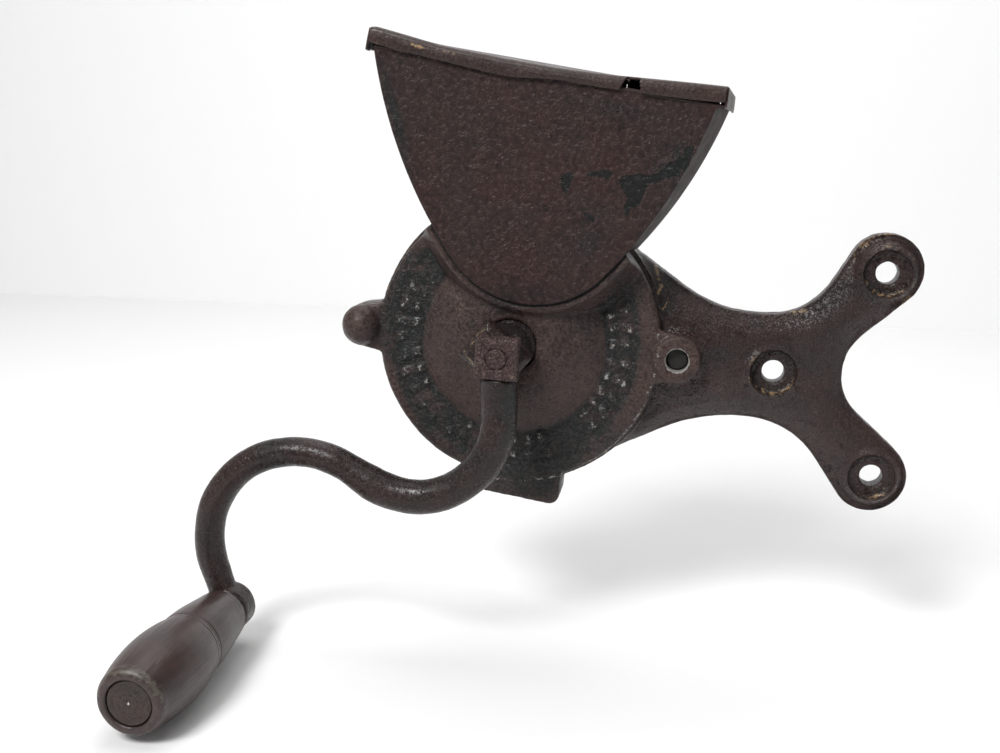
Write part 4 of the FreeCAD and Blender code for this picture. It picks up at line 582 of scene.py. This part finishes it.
# Painted glints: the tops of the band's nubs are laid in the pale bright colour.
nub_glints = np.clip(read_mask(cover.data, "edge") * 0.85, 0, 0.52)
write_masks(cover.data, hollow=read_mask(cover.data, "hollow") + foot_shadow * 1.2,
            tarnished=spots(cover.data, cover_tarnish) + on_band * 0.95,
            rubbed=rings(cover.data, ear_wear_and_rim_highlight) + on_band * nub_glints,
            grit=spots(cover.data, cover_grit) + on_band * 0.3)
cover.data.materials.append(old_iron(
    "japanned cover", cover_brown, cover_dull, black_iron, cover_wear_and_glint, 0.38,
    patch=(70.0, 0.72), edge_level=0.6, relief=0.00028, fleck_and_highlight=cover_fleck_and_highlight, shine=0.26))
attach(cover, "mill_body")


# Cover screws: slotted screws of blackened iron, put in from behind through the back casting's
# ears. They hold the cover, and have rusted into its own two ears.

def dress(material, *names):
    """Give CAD nodes a material, their shape kept."""
    for name in names:
        frame["nodes"][name].data.materials.clear()
        frame["nodes"][name].data.materials.append(material)


dark_screw = old_iron(
    "blackened screw", (0.020, 0.020, 0.018), (0.014, 0.015, 0.014), black_iron,
    (0.10, 0.09, 0.08), 0.5, pebbles=1300.0, pits=600.0, relief=0.0001)
dress(dark_screw, "cover_screw_left", "cover_screw_right")


# Hopper plate: thick tin cut to a shield that stands in the cover's ledge, its edge filed round.
# It was brushed with thick brown paint that dried pebbled, and has flaked to black metal.

hopper_paint = (0.038, 0.018, 0.016)
hopper_dull = (0.032, 0.019, 0.017)
plate_half = 0.0005
plate_middle = (0.008, 0.050)
front_rings, back_rings = 92, 9
plate_gone = [(-55.0, 73.5, 6.0, 3.2, 4, 0.6), (-54, 68, 3.6, 4.4, 10, 0.5), (-57, 63.5, 1.8, 3.0, -20, 0.4),
              (-68, 76.2, 6.5, 1.4, 4, 0.5), (-80.3, 73.4, 2.2, 4.0, 0, 0.42),
              (-71.3, 60.5, 2.8, 1.0, -40, 0.3), (-40, 80, 7.5, 4.6, 52, 0.28),
              (-34.5, 86, 3.4, 5.0, -25, 0.27), (-46, 75.5, 4, 2.6, 20, 0.3),
              (-70, 50, 3.6, 3.0, 0, 0.2), (-88, 63, 1.2, 0.9, 0, 0.2), (-60, 98, 6, 1.6, -10, 0.14)]
plate_tarnish = [(-40, 80, 10, 8, 52, 0.9), (-70, 50, 8, 7, 0, 0.7), (-144, 95, 2.5, 22, 14, 0.9),
                 (-70, 62, 8, 5, -30, 0.5), (-60, 99, 14, 3, -10, 0.6), (-92, 30, 14, 4, 0, 0.5)]
plate_grit = [(-40, 82, 8, 9, 40, 1.0), (-118, 88, 22, 16, 0, 0.35), (-78, 55, 18, 12, 0, 0.35),
              (-100, 45, 22, 10, 0, 0.3), (-75, 95, 20, 10, 0, 0.4)]


def grid_mesh(name, points, around=False, keep=None):
    """Mesh of a grid of points (rows, columns), its faces turned outwards.

    Coinciding points are merged. around joins the last column to the first, and keep says which of
    the quads are wanted.
    """
    rows, columns, _ = points.shape
    number = np.arange(rows * columns).reshape(rows, columns)
    if around:
        number = np.concatenate([number, number[:, :1]], axis=1)
    upper, lower = number[:-1], number[1:]
    quads = np.stack([upper[:, :-1], upper[:, 1:], lower[:, 1:], lower[:, :-1]], axis=-1)
    quads = quads[keep] if keep is not None else quads.reshape(-1, 4)
    mesh = bpy.data.meshes.new(name)
    mesh.from_pydata(points.reshape(-1, 3), [], quads)
    shell = bmesh.new()
    shell.from_mesh(mesh)
    bmesh.ops.remove_doubles(shell, verts=shell.verts, dist=2e-6)
    loose = [vertex for vertex in shell.verts if not vertex.link_faces]
    bmesh.ops.delete(shell, geom=loose, context="VERTS")
    bmesh.ops.recalc_face_normals(shell, faces=shell.faces)
    shell.to_mesh(mesh)
    shell.free()
    mesh.shade_smooth()
    return mesh


def new_piece(name, mesh, material, node, body):
    """Show a mesh in place of a CAD node, on that node's body."""
    piece = add_object(name, mesh)
    mesh.materials.append(material)
    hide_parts(node)
    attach(piece, body)
    return piece


def shield_plate():
    """The plate as its outline carried inwards in rings, over the front, round the edge and behind.

    A ring is the outline moved towards the plate's middle by a share of the way, with a height off
    the plate's mid-plane: level in front, a half circle at the edge, level behind.
    """
    outline = shield(0.0, 130, 110, 120)
    middle = np.array(plate_middle)
    reach = np.linalg.norm(outline - middle, axis=1)[None, :]
    turn = np.linspace(np.pi / 2, -np.pi / 2, 7)[:, None]
    front = (np.linspace(1, 0, front_rings) ** 0.9)[:-1, None] + 0 * reach
    edge = plate_half * (1 - np.cos(turn)) / reach
    behind = np.linspace(0, 1, back_rings)[1:, None] + 0 * reach
    share = np.concatenate([front, edge, behind])[..., None]
    height = np.concatenate([plate_half + 0 * front, plate_half * np.sin(turn) + 0 * reach,
                             0 * behind - plate_half])
    flat = outline + (middle - outline) * share
    points = on_front_plane(flat[..., 0], flat[..., 1], foot_forward + plate_half + height)
    places = points.reshape(-1, 3)
    dents = lattice_noise(places, 0.026, 71) * 0.00022 + lattice_noise(places, 0.009, 72) * 0.00008
    pebbles = lattice_noise(places, 0.0016, 73) * 0.00007
    places[:, 1] -= dents + pebbles * (height.ravel() > 0)
    return places.reshape(points.shape)


painted_tin = old_iron(
    "pebbled paint on tin", hopper_paint, hopper_dull, black_iron, ochre_wear, 0.46,
    patch=(120.0, 0.72), pebbles=560.0, pits=260.0, relief=0.00055, green=0.2, shine=0.26)
plate_mesh = grid_mesh("hopper_plate", shield_plate(), around=True)
write_masks(plate_mesh, gone=spots(plate_mesh, plate_gone), grit=spots(plate_mesh, plate_grit),
            tarnished=spots(plate_mesh, plate_tarnish))
new_piece("hopper_plate", plate_mesh, painted_tin, "hopper_front", "mill_body")


# Hopper sides and back: two bowed sheets and a back that bends into the sloping floor, in the
# same paint, with an iron wire in the plate's top edge and another in the hinge.

matt_tin = old_iron(
    "dull paint on side sheets", (0.036, 0.022, 0.019), (0.030, 0.021, 0.019), black_iron,
    ochre_wear, 0.6, patch=(120.0, 0.72), pebbles=560.0, pits=260.0, relief=0.0002, shine=0.1)
bare_rust = old_iron(
    "rusted iron", (0.046, 0.026, 0.022), (0.028, 0.019, 0.017), (0.012, 0.012, 0.011),
    (0.17, 0.125, 0.085), 0.52, patch=(140.0, 0.66), pebbles=1300.0, pits=600.0, relief=0.00015)
dress(matt_tin, "hopper_side_left", "hopper_side_right", "hopper_back")
dress(bare_rust, "rim_wire", "hinge_wire")


# Lid: one sheet of thin tin folded down in front and at its ends, and rolled round the hinge
# wire behind. Its front has sagged and bent with use, and a piece is torn out of it near the
# bracket's end. Handled bare, its paint is smoother and paler.

lid_brown = (0.052, 0.030, 0.026)
lid_dull = (0.040, 0.026, 0.023)
lid_black = (0.016, 0.017, 0.016)
lid_ochre = (0.26, 0.17, 0.095)
lid_fleck_and_highlight = (0.13, 0.095, 0.085)
lid_rubbed = [(-134.5, 121.0, 3.5, 0.6, -14, 0.9), (-150.5, 121.5, 0.8, 2.0, 0, 0.4),
              (-124, 119, 5, 0.5, -12, 0.5)]
tin_half = 0.0004
hinge_up, hinge_out = 0.00365, 0.00235
roll_radius, roll_rows = 0.00125, 13
lid_back_up, lid_back_out = 0.0049, 0.0045
flange_out = 0.0342
fold_radius = 0.0017
front_ends = (-0.0664, 0.0649)
back_ends = (-0.0712, 0.0680)
roll_spans = ((-0.0659, -0.0297), (0.02695, 0.0632))
fold_at = (-66.4, -64.9, -54.9, -39.5, -17.0, 5.2, 19.6, 29.3, 40.9, 54.9, 64.9)
fold_height = (6.2, 6.8, 5.8, 4.1, 3.5, 3.4, 4.0, 4.6, 5.5, 6.5, 7.1)
hem_at = (-66.4, -63.7, -59.0, -55.9, -47.9, -31.0, -15.9, -9.0, -1.3, 8.5, 10.5, 20.5, 28.0, 34.5, 49.1,
          64.9)
hem_height = (1.0, 0.6, 0.2, -0.4, -0.6, -1.7, -2.6, -2.3, -1.3, -0.5, -0.9, -0.6, -0.4, -0.2, 0.4, 1.5)


def on_rim(along, up, out, tilted):
    """Points of the rim's own frame: along the rim line, up from it and out from the wall.

    tilted is 1 on the hopper's front plane and 0 square to the wall, and blends the two between.
    """
    across = plate_height * np.sin(plate_lean) + along * np.cos(rim_slope) + up * np.sin(rim_slope)
    rise = plate_height * np.cos(plate_lean) - along * np.sin(rim_slope) + up * np.cos(rim_slope)
    front = on_front_plane(across, rise, out)
    back = np.stack(np.broadcast_arrays(foot_x + across, -out, foot_z + rise), axis=-1)
    return back + (front - back) * tilted


def bent_line(stations, at, heights):
    """Heights in millimetres along the rim, joined by straight runs and then rounded a little."""
    line = np.interp(stations * 1000, at, heights) / 1000
    kernel = np.hanning(15)
    return np.convolve(np.pad(line, 7, mode="edge"), kernel / kernel.sum(), mode="valid")


def lid_sheet():
    """The sheet's middle surface: one profile for each of the stations along the rim.

    The profile rolls round the hinge, its roll drawn down to the hopper's edge, runs over the top,
    turns down through the fold and ends at the hem. Returns the points and the wanted quads.
    """
    share = np.linspace(0, 1, 372)
    front = front_ends[0] + (front_ends[1] - front_ends[0]) * share
    behind = back_ends[0] + (back_ends[1] - back_ends[0]) * share
    fold = bent_line(front, fold_at, fold_height) - tin_half
    hem = bent_line(front, hem_at, hem_height)
    still = np.zeros(len(front))
    hem = hem + lattice_noise(np.stack([front, still, still], axis=1), 0.0021, 81) * 0.00012
    rows, marks = [], []
    for turn in np.linspace(-np.pi, np.pi / 2, roll_rows)[:-1]:
        drop = roll_radius * np.sin(turn) * (2.0 if turn < 0 else 1.0)
        rows.append(on_rim(behind, hinge_up + drop, hinge_out - roll_radius * np.cos(turn), 0.0))
        marks.append((behind, fold))
    start = on_rim(behind, lid_back_up, lid_back_out, 0.0)
    stop = on_rim(front, fold, flange_out - fold_radius, 1.0)
    rows.append(on_rim(behind, lid_back_up, hinge_out, 0.0))
    marks.append((behind, fold))
    for part in np.linspace(0, 1, 26):
        rows.append(start + (stop - start) * part)
        marks.append((front, fold + 0.001 + (1 - part) * 0.03))
    for turn in np.linspace(0, np.pi / 2, 9)[1:]:
        up = fold - fold_radius * (1 - np.cos(turn))
        rows.append(on_rim(front, up, flange_out - fold_radius * (1 - np.sin(turn)), 1.0))
        marks.append((front, up))
    for part in np.linspace(0, 1, 18)[1:]:
        up = (fold - fold_radius) * (1 - part) + hem * part
        bulge = 0.0003 * np.sin(np.pi * part) - 0.0003 * part
        rows.append(on_rim(front, up, flange_out + bulge, 1.0))
        marks.append((front, up))
    points, marks = np.stack(rows), np.array(marks)
    flat = points.reshape(-1, 3)
    dents = lattice_noise(flat, 0.014, 82) * 0.00025 + lattice_noise(flat, 0.005, 83) * 0.0001
    points[roll_rows - 1:, :, 1] += dents.reshape(points.shape[:2])[roll_rows - 1:]
    along, up = np.moveaxis((marks[:-1, :, :-1] + marks[1:, :, 1:]) / 2 * 1000, 1, 0)
    jag = lattice_noise(np.stack([along, up, along * 0], axis=-1).reshape(-1, 3), 0.8, 84)
    jag = jag.reshape(along.shape)
    torn = (along > 27.6 + (up - 0.5) * 0.5 + jag * 0.15) & (along < 34.9 - (up - 0.9) * 0.3 + jag * 0.15)
    torn &= up < 5.4 + jag * 0.9
    rolled = np.zeros(torn.shape, bool)
    for first, last in roll_spans:
        rolled |= (along > first * 1000) & (along < last * 1000)
    keep = ~torn
    keep[:roll_rows] = rolled[:roll_rows]
    return points, keep


def lid_end(side):
    """One end of the lid, folded down outside the hopper's side: straight lines from back to front.

    Its back corner is folded in behind as a small tab that reaches to the hinge roll.
    """
    way = (-1, 1)[side]
    part = np.concatenate([np.zeros(8), np.linspace(0, 1, 60)])[None, :]
    inward = np.concatenate([np.linspace(1, 0, 9)[:-1], np.zeros(60)])[None, :]
    still = 0 * part[0]
    drop = np.linspace(0, 1, 14)[:, None]
    roll_end = (roll_spans[0][0], roll_spans[1][1])[side]
    along = back_ends[side] + (front_ends[side] - back_ends[side]) * part
    along = along + (roll_end - back_ends[side]) * inward * 1.04
    top = lid_back_up + (fold_height[-side] / 1000 - tin_half - lid_back_up) * part
    ragged = lattice_noise(np.stack([part[0] * 0.036, still, still], axis=1), 0.0025, 85 + side) * 0.0005
    low = -0.0008 - (0.0014, -0.0006)[side] * part + ragged[None] * (1, 0.4)[side]
    low = np.where(inward > 0, 0.0004, low)
    up = top + (low - top) * drop
    out = lid_back_out + (flange_out - tin_half - lid_back_out) * part
    return on_rim(along + way * 0.0005 * np.sin(drop * np.pi / 2), up, out, part[..., None])


lid_points, lid_keep = lid_sheet()
lid_paint = old_iron(
    "handled tin", lid_brown, lid_dull, lid_black, lid_ochre, 0.40, patch=(110.0, 0.68), pebbles=1100.0,
    pits=420.0, relief=0.00012, fleck_and_highlight=lid_fleck_and_highlight, green=0.3, shine=0.3)
lid_mesh = bpy.data.meshes.new("lid_sheet")
shell = bmesh.new()
for part in (grid_mesh("lid_top", lid_points, keep=lid_keep), grid_mesh("lid_left", lid_end(0)),
             grid_mesh("lid_right", lid_end(1))):
    shell.from_mesh(part)
    bpy.data.meshes.remove(part)
shell.to_mesh(lid_mesh)
shell.free()
lid_mesh.shade_smooth()
lid_places, _ = points_of(lid_mesh)
lid_up = ((lid_places[:, 2] - foot_z) * np.cos(rim_slope) + (lid_places[:, 0] - foot_x) * np.sin(rim_slope)
          - plate_height * np.cos(rim_slope - plate_lean))
on_fold = np.exp(-((lid_up - 0.0045) / 0.0012) ** 2) * (lid_places[:, 1] < -0.034)
write_masks(lid_mesh, edge=on_fold * 0.3, rubbed=spots(lid_mesh, lid_rubbed))
lid = new_piece("lid_sheet", lid_mesh, lid_paint, "lid", "lid_body")
wall = lid.modifiers.new("tin", "SOLIDIFY")
wall.thickness = 2 * tin_half
wall.offset = 0.0


# Burrs, shaft, thrust disc and adjusting screw: chilled iron and turned steel, bare and dull, with
# rusted screws and pin. The shaft's stud has rusted with the nut that it holds.

bare_burr = old_iron(
    "chilled iron", (0.060, 0.056, 0.053), (0.045, 0.040, 0.037), (0.03, 0.027, 0.025),
    (0.2, 0.19, 0.18), 0.5, pebbles=1500.0, pits=700.0, relief=0.0001)
scaly_rust = old_iron(
    "scaly rust", (0.084, 0.047, 0.045), (0.056, 0.034, 0.032), (0.012, 0.011, 0.011),
    (0.14, 0.10, 0.08), 0.42, patch=(150.0, 0.64), pebbles=950.0, pits=520.0, relief=0.0011,
    green=0.15, fleck_and_highlight=(0.34, 0.22, 0.20), shine=0.35)
hub_front = -0.048
dress(bare_burr, "fixed_burr", "rotating_burr", "thrust_disc", "adjusting_screw")
dress(bare_rust, "burr_screw_1", "burr_screw_2", "burr_screw_3", "burr_pin")


def rust_skin(places, normals):
    """Bruises and rust scale."""
    return lattice_noise(places, 0.004, 51) * 0.00016 + lattice_noise(places, 0.0013, 53) * 0.00014


shaft = worn_copy("shaft", 0.00045, 3, rust_skin, 0.0006)
shaft_places, _ = points_of(shaft.data)
# Painted shade: the shaft is darkened where it lies behind the hub's front, inside the cover's hole.
write_masks(shaft.data, hollow=(shaft_places[:, 1] > hub_front) * 0.75,
            edge=np.zeros(len(shaft_places)), grit=np.ones(len(shaft_places)))
shaft.data.materials.append(scaly_rust)
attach(shaft, "crank")


# Crank arm: forged from round bar, with a squared hub left on its corner and a flattened eye
# hammered round the grip's pin. Scale and rust under worn japan make its skin rough.

forging_brown = (0.032, 0.019, 0.016)
forging_dull = (0.021, 0.015, 0.013)
forging_wear_and_highlight = (0.16, 0.115, 0.075)
# Worn spots round the eye, and painted highlights on the hub: a bright line along its lower left edge, its
# lit upper left facet and a glint at its top.
arm_wear_and_highlights = [(-111.6, 6.7, 5.0, 0.5, -53.5, 1.2), (-109.5, 16, 5, 4, 45, 0.46),
              (-94.5, 17, 3.0, 0.5, -45, 1.0), (-199, -101, 1.2, 4, 0, 0.8), (-201, -93, 2, 1.5, 0, 0.5),
              (-226, -62, 1.2, 7, 15, 0.45)]
# Greenish tarnish, and below the hub a darker patch that is partly darker paint and partly a painted shadow
# of the hub.
arm_tarnish_and_shade = [(-97, 18, 5, 4, -45, 1.0), (-97, -12, 6, 14, 5, 1.0), (-105, -30, 6, 6, 0, 0.6),
               (-190, -35, 8, 20, 0, 0.6)]


def forged_skin(places, normals):
    """Hammer flats and rust pits on a forged bar."""
    flats = lattice_noise(places, 0.011, 41) * 0.00028
    return flats + lattice_noise(places, 0.003, 43) * 0.00007 + lattice_noise(places, 0.0013, 45) * 0.00003


arm = worn_copy("crank_arm", 0.0005, 3, forged_skin, 0.0008)
write_masks(arm.data, rubbed=spots(arm.data, arm_wear_and_highlights), tarnished=spots(arm.data, arm_tarnish_and_shade))
arm.data.materials.append(old_iron(
    "worn forging", forging_brown, forging_dull, black_iron, forging_wear_and_highlight, 0.27,
    patch=(90.0, 0.72), pebbles=1100.0, pits=420.0, relief=0.00025, shine=0.30))
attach(arm, "crank")


# Crank nut: a square wrought nut, screwed on the shaft's stud to hold the arm on the square. It is
# bare iron, rusted and bruised by wrenches.

nut_rubbed = [(-95.6, 3.2, 1.3, 1.1, 0, 1.0), (-109, 6, 0.8, 2.0, 0, 0.6)]
nut = worn_copy("crank_nut", 0.0003, 5, rust_skin, 0.0005)
write_masks(nut.data, grit=np.ones(len(nut.data.vertices)), rubbed=spots(nut.data, nut_rubbed))
nut.data.materials.append(scaly_rust)
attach(nut, "crank")


# Grip: hardwood barrel turned with two fine lines, dark with handling, its end rounded and
# counterbored for the pin's head. It turns on that pin, an iron rod peened into the eye.

grip_x, grip_z = -0.21306, -0.10055
grip_start, grip_length = 0.0566, 0.076
collar_radius, step_radius, belly_radius = 0.0104, 0.011, 0.0135
shoulder_at, belly_at, rounding_at = 0.0048, 0.032, 0.0724
line_places = (0.0305, 0.0336)
hardwood, hardwood_light = (0.030, 0.016, 0.014), (0.054, 0.031, 0.027)
handled_dark, chipped_dark = (0.024, 0.015, 0.014), (0.016, 0.012, 0.011)
scuffed_pale, line_and_gap_dark = (0.095, 0.085, 0.068), (0.009, 0.007, 0.007)


def build_wood():
    """Dark handled hardwood: grain drawn out along the barrel, scuffs and a waxed shine."""
    material, tree, shader, place = new_material("handled hardwood", 0.5)
    hollow, rubbed = read_masks(tree, "hollow", "rubbed")
    along = new_node(tree, "ShaderNodeMapping", Vector=place, Scale=(1.0, 0.06, 1.0)).outputs[0]
    grain = ramp(tree, noise(tree, along, 520.0, 6.0, 0.6), 0.3, 0.7)
    colour = blend_colour(tree, grain, hardwood, hardwood_light)
    cloud = ramp(tree, noise(tree, place, 60.0, 5.0, 0.6), 0.42, 0.65, 0.0, 0.7)
    colour = blend_colour(tree, cloud, colour, handled_dark)
    loss = new_node(tree, "ShaderNodeGroup", paint_loss, Position=place, Edge=0.0, Hollow=hollow,
                    Rubbed=rubbed, Patch_Scale=140.0, Patch_Level=0.7, Edge_Level=0.5)
    colour = blend_colour(tree, loss.outputs["Flaked"], colour, chipped_dark)
    colour = blend_colour(tree, times(tree, loss.outputs["Worn"], 0.75), colour, scuffed_pale)
    # Darker in the turned lines and at the collar's step, and painted shade in the gap round the pin's head.
    colour = blend_colour(tree, times(tree, loss.outputs["Dirt And Shade"], 0.8), colour, line_and_gap_dark)
    tree.links.new(colour, shader.inputs["Base Color"])
    rough = ramp(tree, noise(tree, along, 220.0, 5.0, 0.6), 0.3, 0.7, 0.3, 0.44)
    tree.links.new(rough, shader.inputs["Roughness"])
    bump = new_node(tree, "ShaderNodeBump", Height=grain, Strength=0.6, Distance=0.00022)
    tree.links.new(bump.outputs["Normal"], shader.inputs["Normal"])
    return material


def barrel_profile():
    """Distance from the crank's end and radius of the barrel, from its mouth over the end to the bore.

    A collar, a step, a bow up to the turned lines, a fuller bow to the end, a quarter round, the flat
    end, the counterbore and the bore. Each line is the bell curve of the distance from its place.
    """
    collar = np.array([[0.0, 0.0096], [0.0003, 0.0101], [0.0009, collar_radius], [0.0036, collar_radius],
                       [0.0040, 0.0105], [0.0045, 0.01085]])
    place = np.concatenate([np.linspace(shoulder_at, 0.029, 40), np.linspace(0.0292, 0.035, 42),
                            np.linspace(0.0354, 0.0722, 60)])
    part = np.clip((place - shoulder_at) / (belly_at - shoulder_at), 0, 1)
    rising = step_radius + (belly_radius - step_radius) * np.sin(np.pi / 2 * part) ** 1.15
    part = np.clip((place - belly_at) / (rounding_at - belly_at), 0, 1)
    falling = belly_radius - 0.0007 * part + 0.0023 * 4 * part * (1 - part)
    radius = np.where(place < belly_at, rising, falling)
    for line in line_places:
        radius = radius - 0.00018 * np.exp(-((place - line) / 0.00022) ** 2)
    turn = np.linspace(0, np.pi / 2, 14)[1:]
    rounding = np.stack([rounding_at + 0.0035 * np.sin(turn), 0.0103 + 0.0025 * np.cos(turn)], axis=1)
    inside = np.array([[grip_length, 0.0098], [0.0759, 0.0092], [0.0757, 0.0087], [0.0750, 0.00858],
                       [0.0734, 0.00858], [0.0733, 0.0084], [0.0733, 0.0042], [0.0728, 0.00413],
                       [0.001, 0.00413], [0.0, 0.0043], [0.0, 0.0096]])
    return np.concatenate([collar, np.stack([place, radius], axis=1), rounding, inside])


def revolve_on_pin(profile, steps, dents):
    """Turn a profile of (forward from the grip's start, radius) round the pin's line."""
    turn = np.linspace(0, 2 * np.pi, steps, endpoint=False)
    forward, radius = profile[:, 0][:, None], profile[:, 1][:, None]
    points = np.stack(np.broadcast_arrays(grip_x + radius * np.cos(turn), -(grip_start + forward),
                                          grip_z + radius * np.sin(turn)), axis=-1)
    flat = points.reshape(-1, 3)
    uneven = lattice_noise(flat, 0.013, 91) * 0.00014 + lattice_noise(flat, 0.004, 92) * 0.00004
    push = (uneven.reshape(points.shape[:2]) * dents * (radius > 0.0095))[..., None]
    return points + push * np.stack([np.cos(turn), 0 * turn, np.sin(turn)], axis=-1)


wood = build_wood()
grip_mesh = grid_mesh("grip_barrel", revolve_on_pin(barrel_profile(), 168, 1.0), around=True)
grip_places, _ = points_of(grip_mesh)
grip_forward = -grip_places[:, 1] - grip_start
grip_radius = np.hypot(grip_places[:, 0] - grip_x, grip_places[:, 2] - grip_z)
in_lines = sum(np.exp(-((grip_forward - line) / 0.0003) ** 2) for line in line_places)
at_step = np.exp(-((grip_forward - 0.0041) / 0.0007) ** 2)
# Painted shade in the gap between the pin's head and the counterbore.
head_gap_shade = (grip_forward > 0.07) * np.exp(-((grip_radius - 0.0086) / 0.0002) ** 2) * 0.7
end_ring = np.clip((grip_forward - 0.0722) / 0.0016, 0, 1) * np.clip((grip_radius - 0.0092) / 0.0008, 0, 1)
end_rim = np.exp(-((grip_radius - 0.0118) / 0.0009) ** 2)
end_rim = end_rim * np.clip((grip_places[:, 2] - grip_z) / 0.008 + 0.4, 0, 1)
write_masks(grip_mesh, hollow=in_lines * 0.45 + at_step * 0.6 + head_gap_shade,
            rubbed=end_ring * 0.3 + end_ring * end_rim * 0.45)
new_piece("grip_barrel", grip_mesh, wood, "grip", "grip_body")


def pin_profile():
    """Forward place and radius of the pin: peened end, shank, and a head with faint turned rings."""
    shank = np.array([[-0.0148, 0.0], [-0.0147, 0.002], [-0.0142, 0.0040], [-0.0132, 0.0053],
                      [-0.0128, 0.0054], [-0.0128, 0.0040], [0.0733, 0.0040], [0.0734, 0.0078],
                      [0.0737, 0.00835], [0.0748, 0.0084], [0.0752, 0.0082]])
    radius = np.linspace(0.0080, 0.0, 70)
    turned = (-0.00012 * np.exp(-((radius - 0.0058) / 0.0003) ** 2)
              - 0.0001 * np.exp(-((radius - 0.0034) / 0.0003) ** 2))
    pip = 0.0003 * np.exp(-(radius / 0.0005) ** 2) - 0.00015 * np.exp(-((radius - 0.0012) / 0.0004) ** 2)
    return np.concatenate([shank, np.stack([0.0754 + turned + pip, radius], axis=1)])


pin_iron = old_iron(
    "polished pin head", (0.050, 0.033, 0.028), (0.040, 0.031, 0.027), (0.020, 0.017, 0.016),
    (0.5, 0.5, 0.48), 0.42, patch=(160.0, 0.70), pebbles=1300.0, pits=600.0, relief=0.00006)
pin_mesh = grid_mesh("grip_pin", revolve_on_pin(pin_profile(), 96, 0.0), around=True)
write_masks(pin_mesh, rubbed=spots(pin_mesh, [(grip_x * 1000, grip_z * 1000, 0.5, 0.5, 0, 1.2)]))
new_piece("grip_pin", pin_mesh, pin_iron, "grip_spindle", "crank")
dress(bare_rust, "grip_washer")


# Table, backdrop and lamps: two sheets of matt white card, a soft key lamp to the left of the
# camera and a wide one over the backdrop. The camera stands where the picture was taken.

table_front, wall_back, wall_top, half_width = -0.34, 0.85, 2.5, 3.0
table_white, wall_white = (0.84, 0.84, 0.84), (0.95, 0.95, 0.95)
floor_gap = 0.0004


def card(name, near, far, shade):
    """Flat sheet of card between two lines across the view, each given by its y and z."""
    corners = [(-half_width, *near), (half_width, *near), (half_width, *far), (-half_width, *far)]
    mesh = bpy.data.meshes.new(name)
    mesh.from_pydata(corners, [], [(0, 1, 2, 3)])
    sheet = add_object(name, mesh)
    material, _, shader, _ = new_material(name, 0.5)
    shader.inputs["Base Color"].default_value = (*shade, 1)
    shader.inputs["Roughness"].default_value = 0.9
    mesh.materials.append(material)


floor_level = min(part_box(name)[0].z for name in frame["nodes"]) - floor_gap
card("table", (table_front, floor_level), (wall_back, floor_level), table_white)
card("backdrop", (wall_back, floor_level), (wall_back, wall_top), wall_white)


def soft_lamp(name, place, aim, width, power):
    """Square lamp of the given width that stands at a place and faces another."""
    lamp = bpy.data.lights.new(name, "AREA")
    lamp.shape = "SQUARE"
    lamp.size = width
    lamp.energy = power
    holder = add_object(name, lamp)
    behind = (Vector(place) - Vector(aim)).normalized()
    side = Vector((0, 0.02, 1.0)).cross(behind).normalized()
    turn = Matrix((side, behind.cross(side), behind)).transposed()
    holder.matrix_world = Matrix.Translation(place) @ turn.to_4x4()


soft_lamp("key", (-0.5, -0.9, 0.95), (-0.1, 0.0, 0.0), 0.45, 17.0)
soft_lamp("overhead", (0.0, 0.45, 1.3), (0.0, 0.6, 0.0), 1.2, 11.0)
world = bpy.data.worlds.new("studio")
world.use_nodes = True
background = world.node_tree.nodes["Background"]
background.inputs["Color"].default_value = (1, 1, 1, 1)
seen = world.node_tree.nodes.new("ShaderNodeLightPath").outputs["Is Camera Ray"]
world.node_tree.links.new(ramp(world.node_tree, seen, 0.0, 1.0, 0.3, 1.0), background.inputs["Strength"])
bpy.context.scene.world = world
bpy.context.scene.view_settings.view_transform = "Standard"

camera = bpy.data.cameras.new("camera")
camera.sensor_width = 36.0
camera.lens = 40.80
camera_right = (0.98276534, 0.18457074, 0.01029174)
camera_up = (-0.04846812, 0.20354724, 0.97786469)
camera_behind = (0.17839036, -0.96151035, 0.20898498)
eye_point = (-0.02581, -0.45623, 0.08994)
viewer = add_object("camera", camera)
viewer_turn = Matrix((camera_right, camera_up, camera_behind)).transposed()
viewer.matrix_world = Matrix.Translation(eye_point) @ viewer_turn.to_4x4()
bpy.context.scene.camera = viewer

bpy.context.view_layer.update()
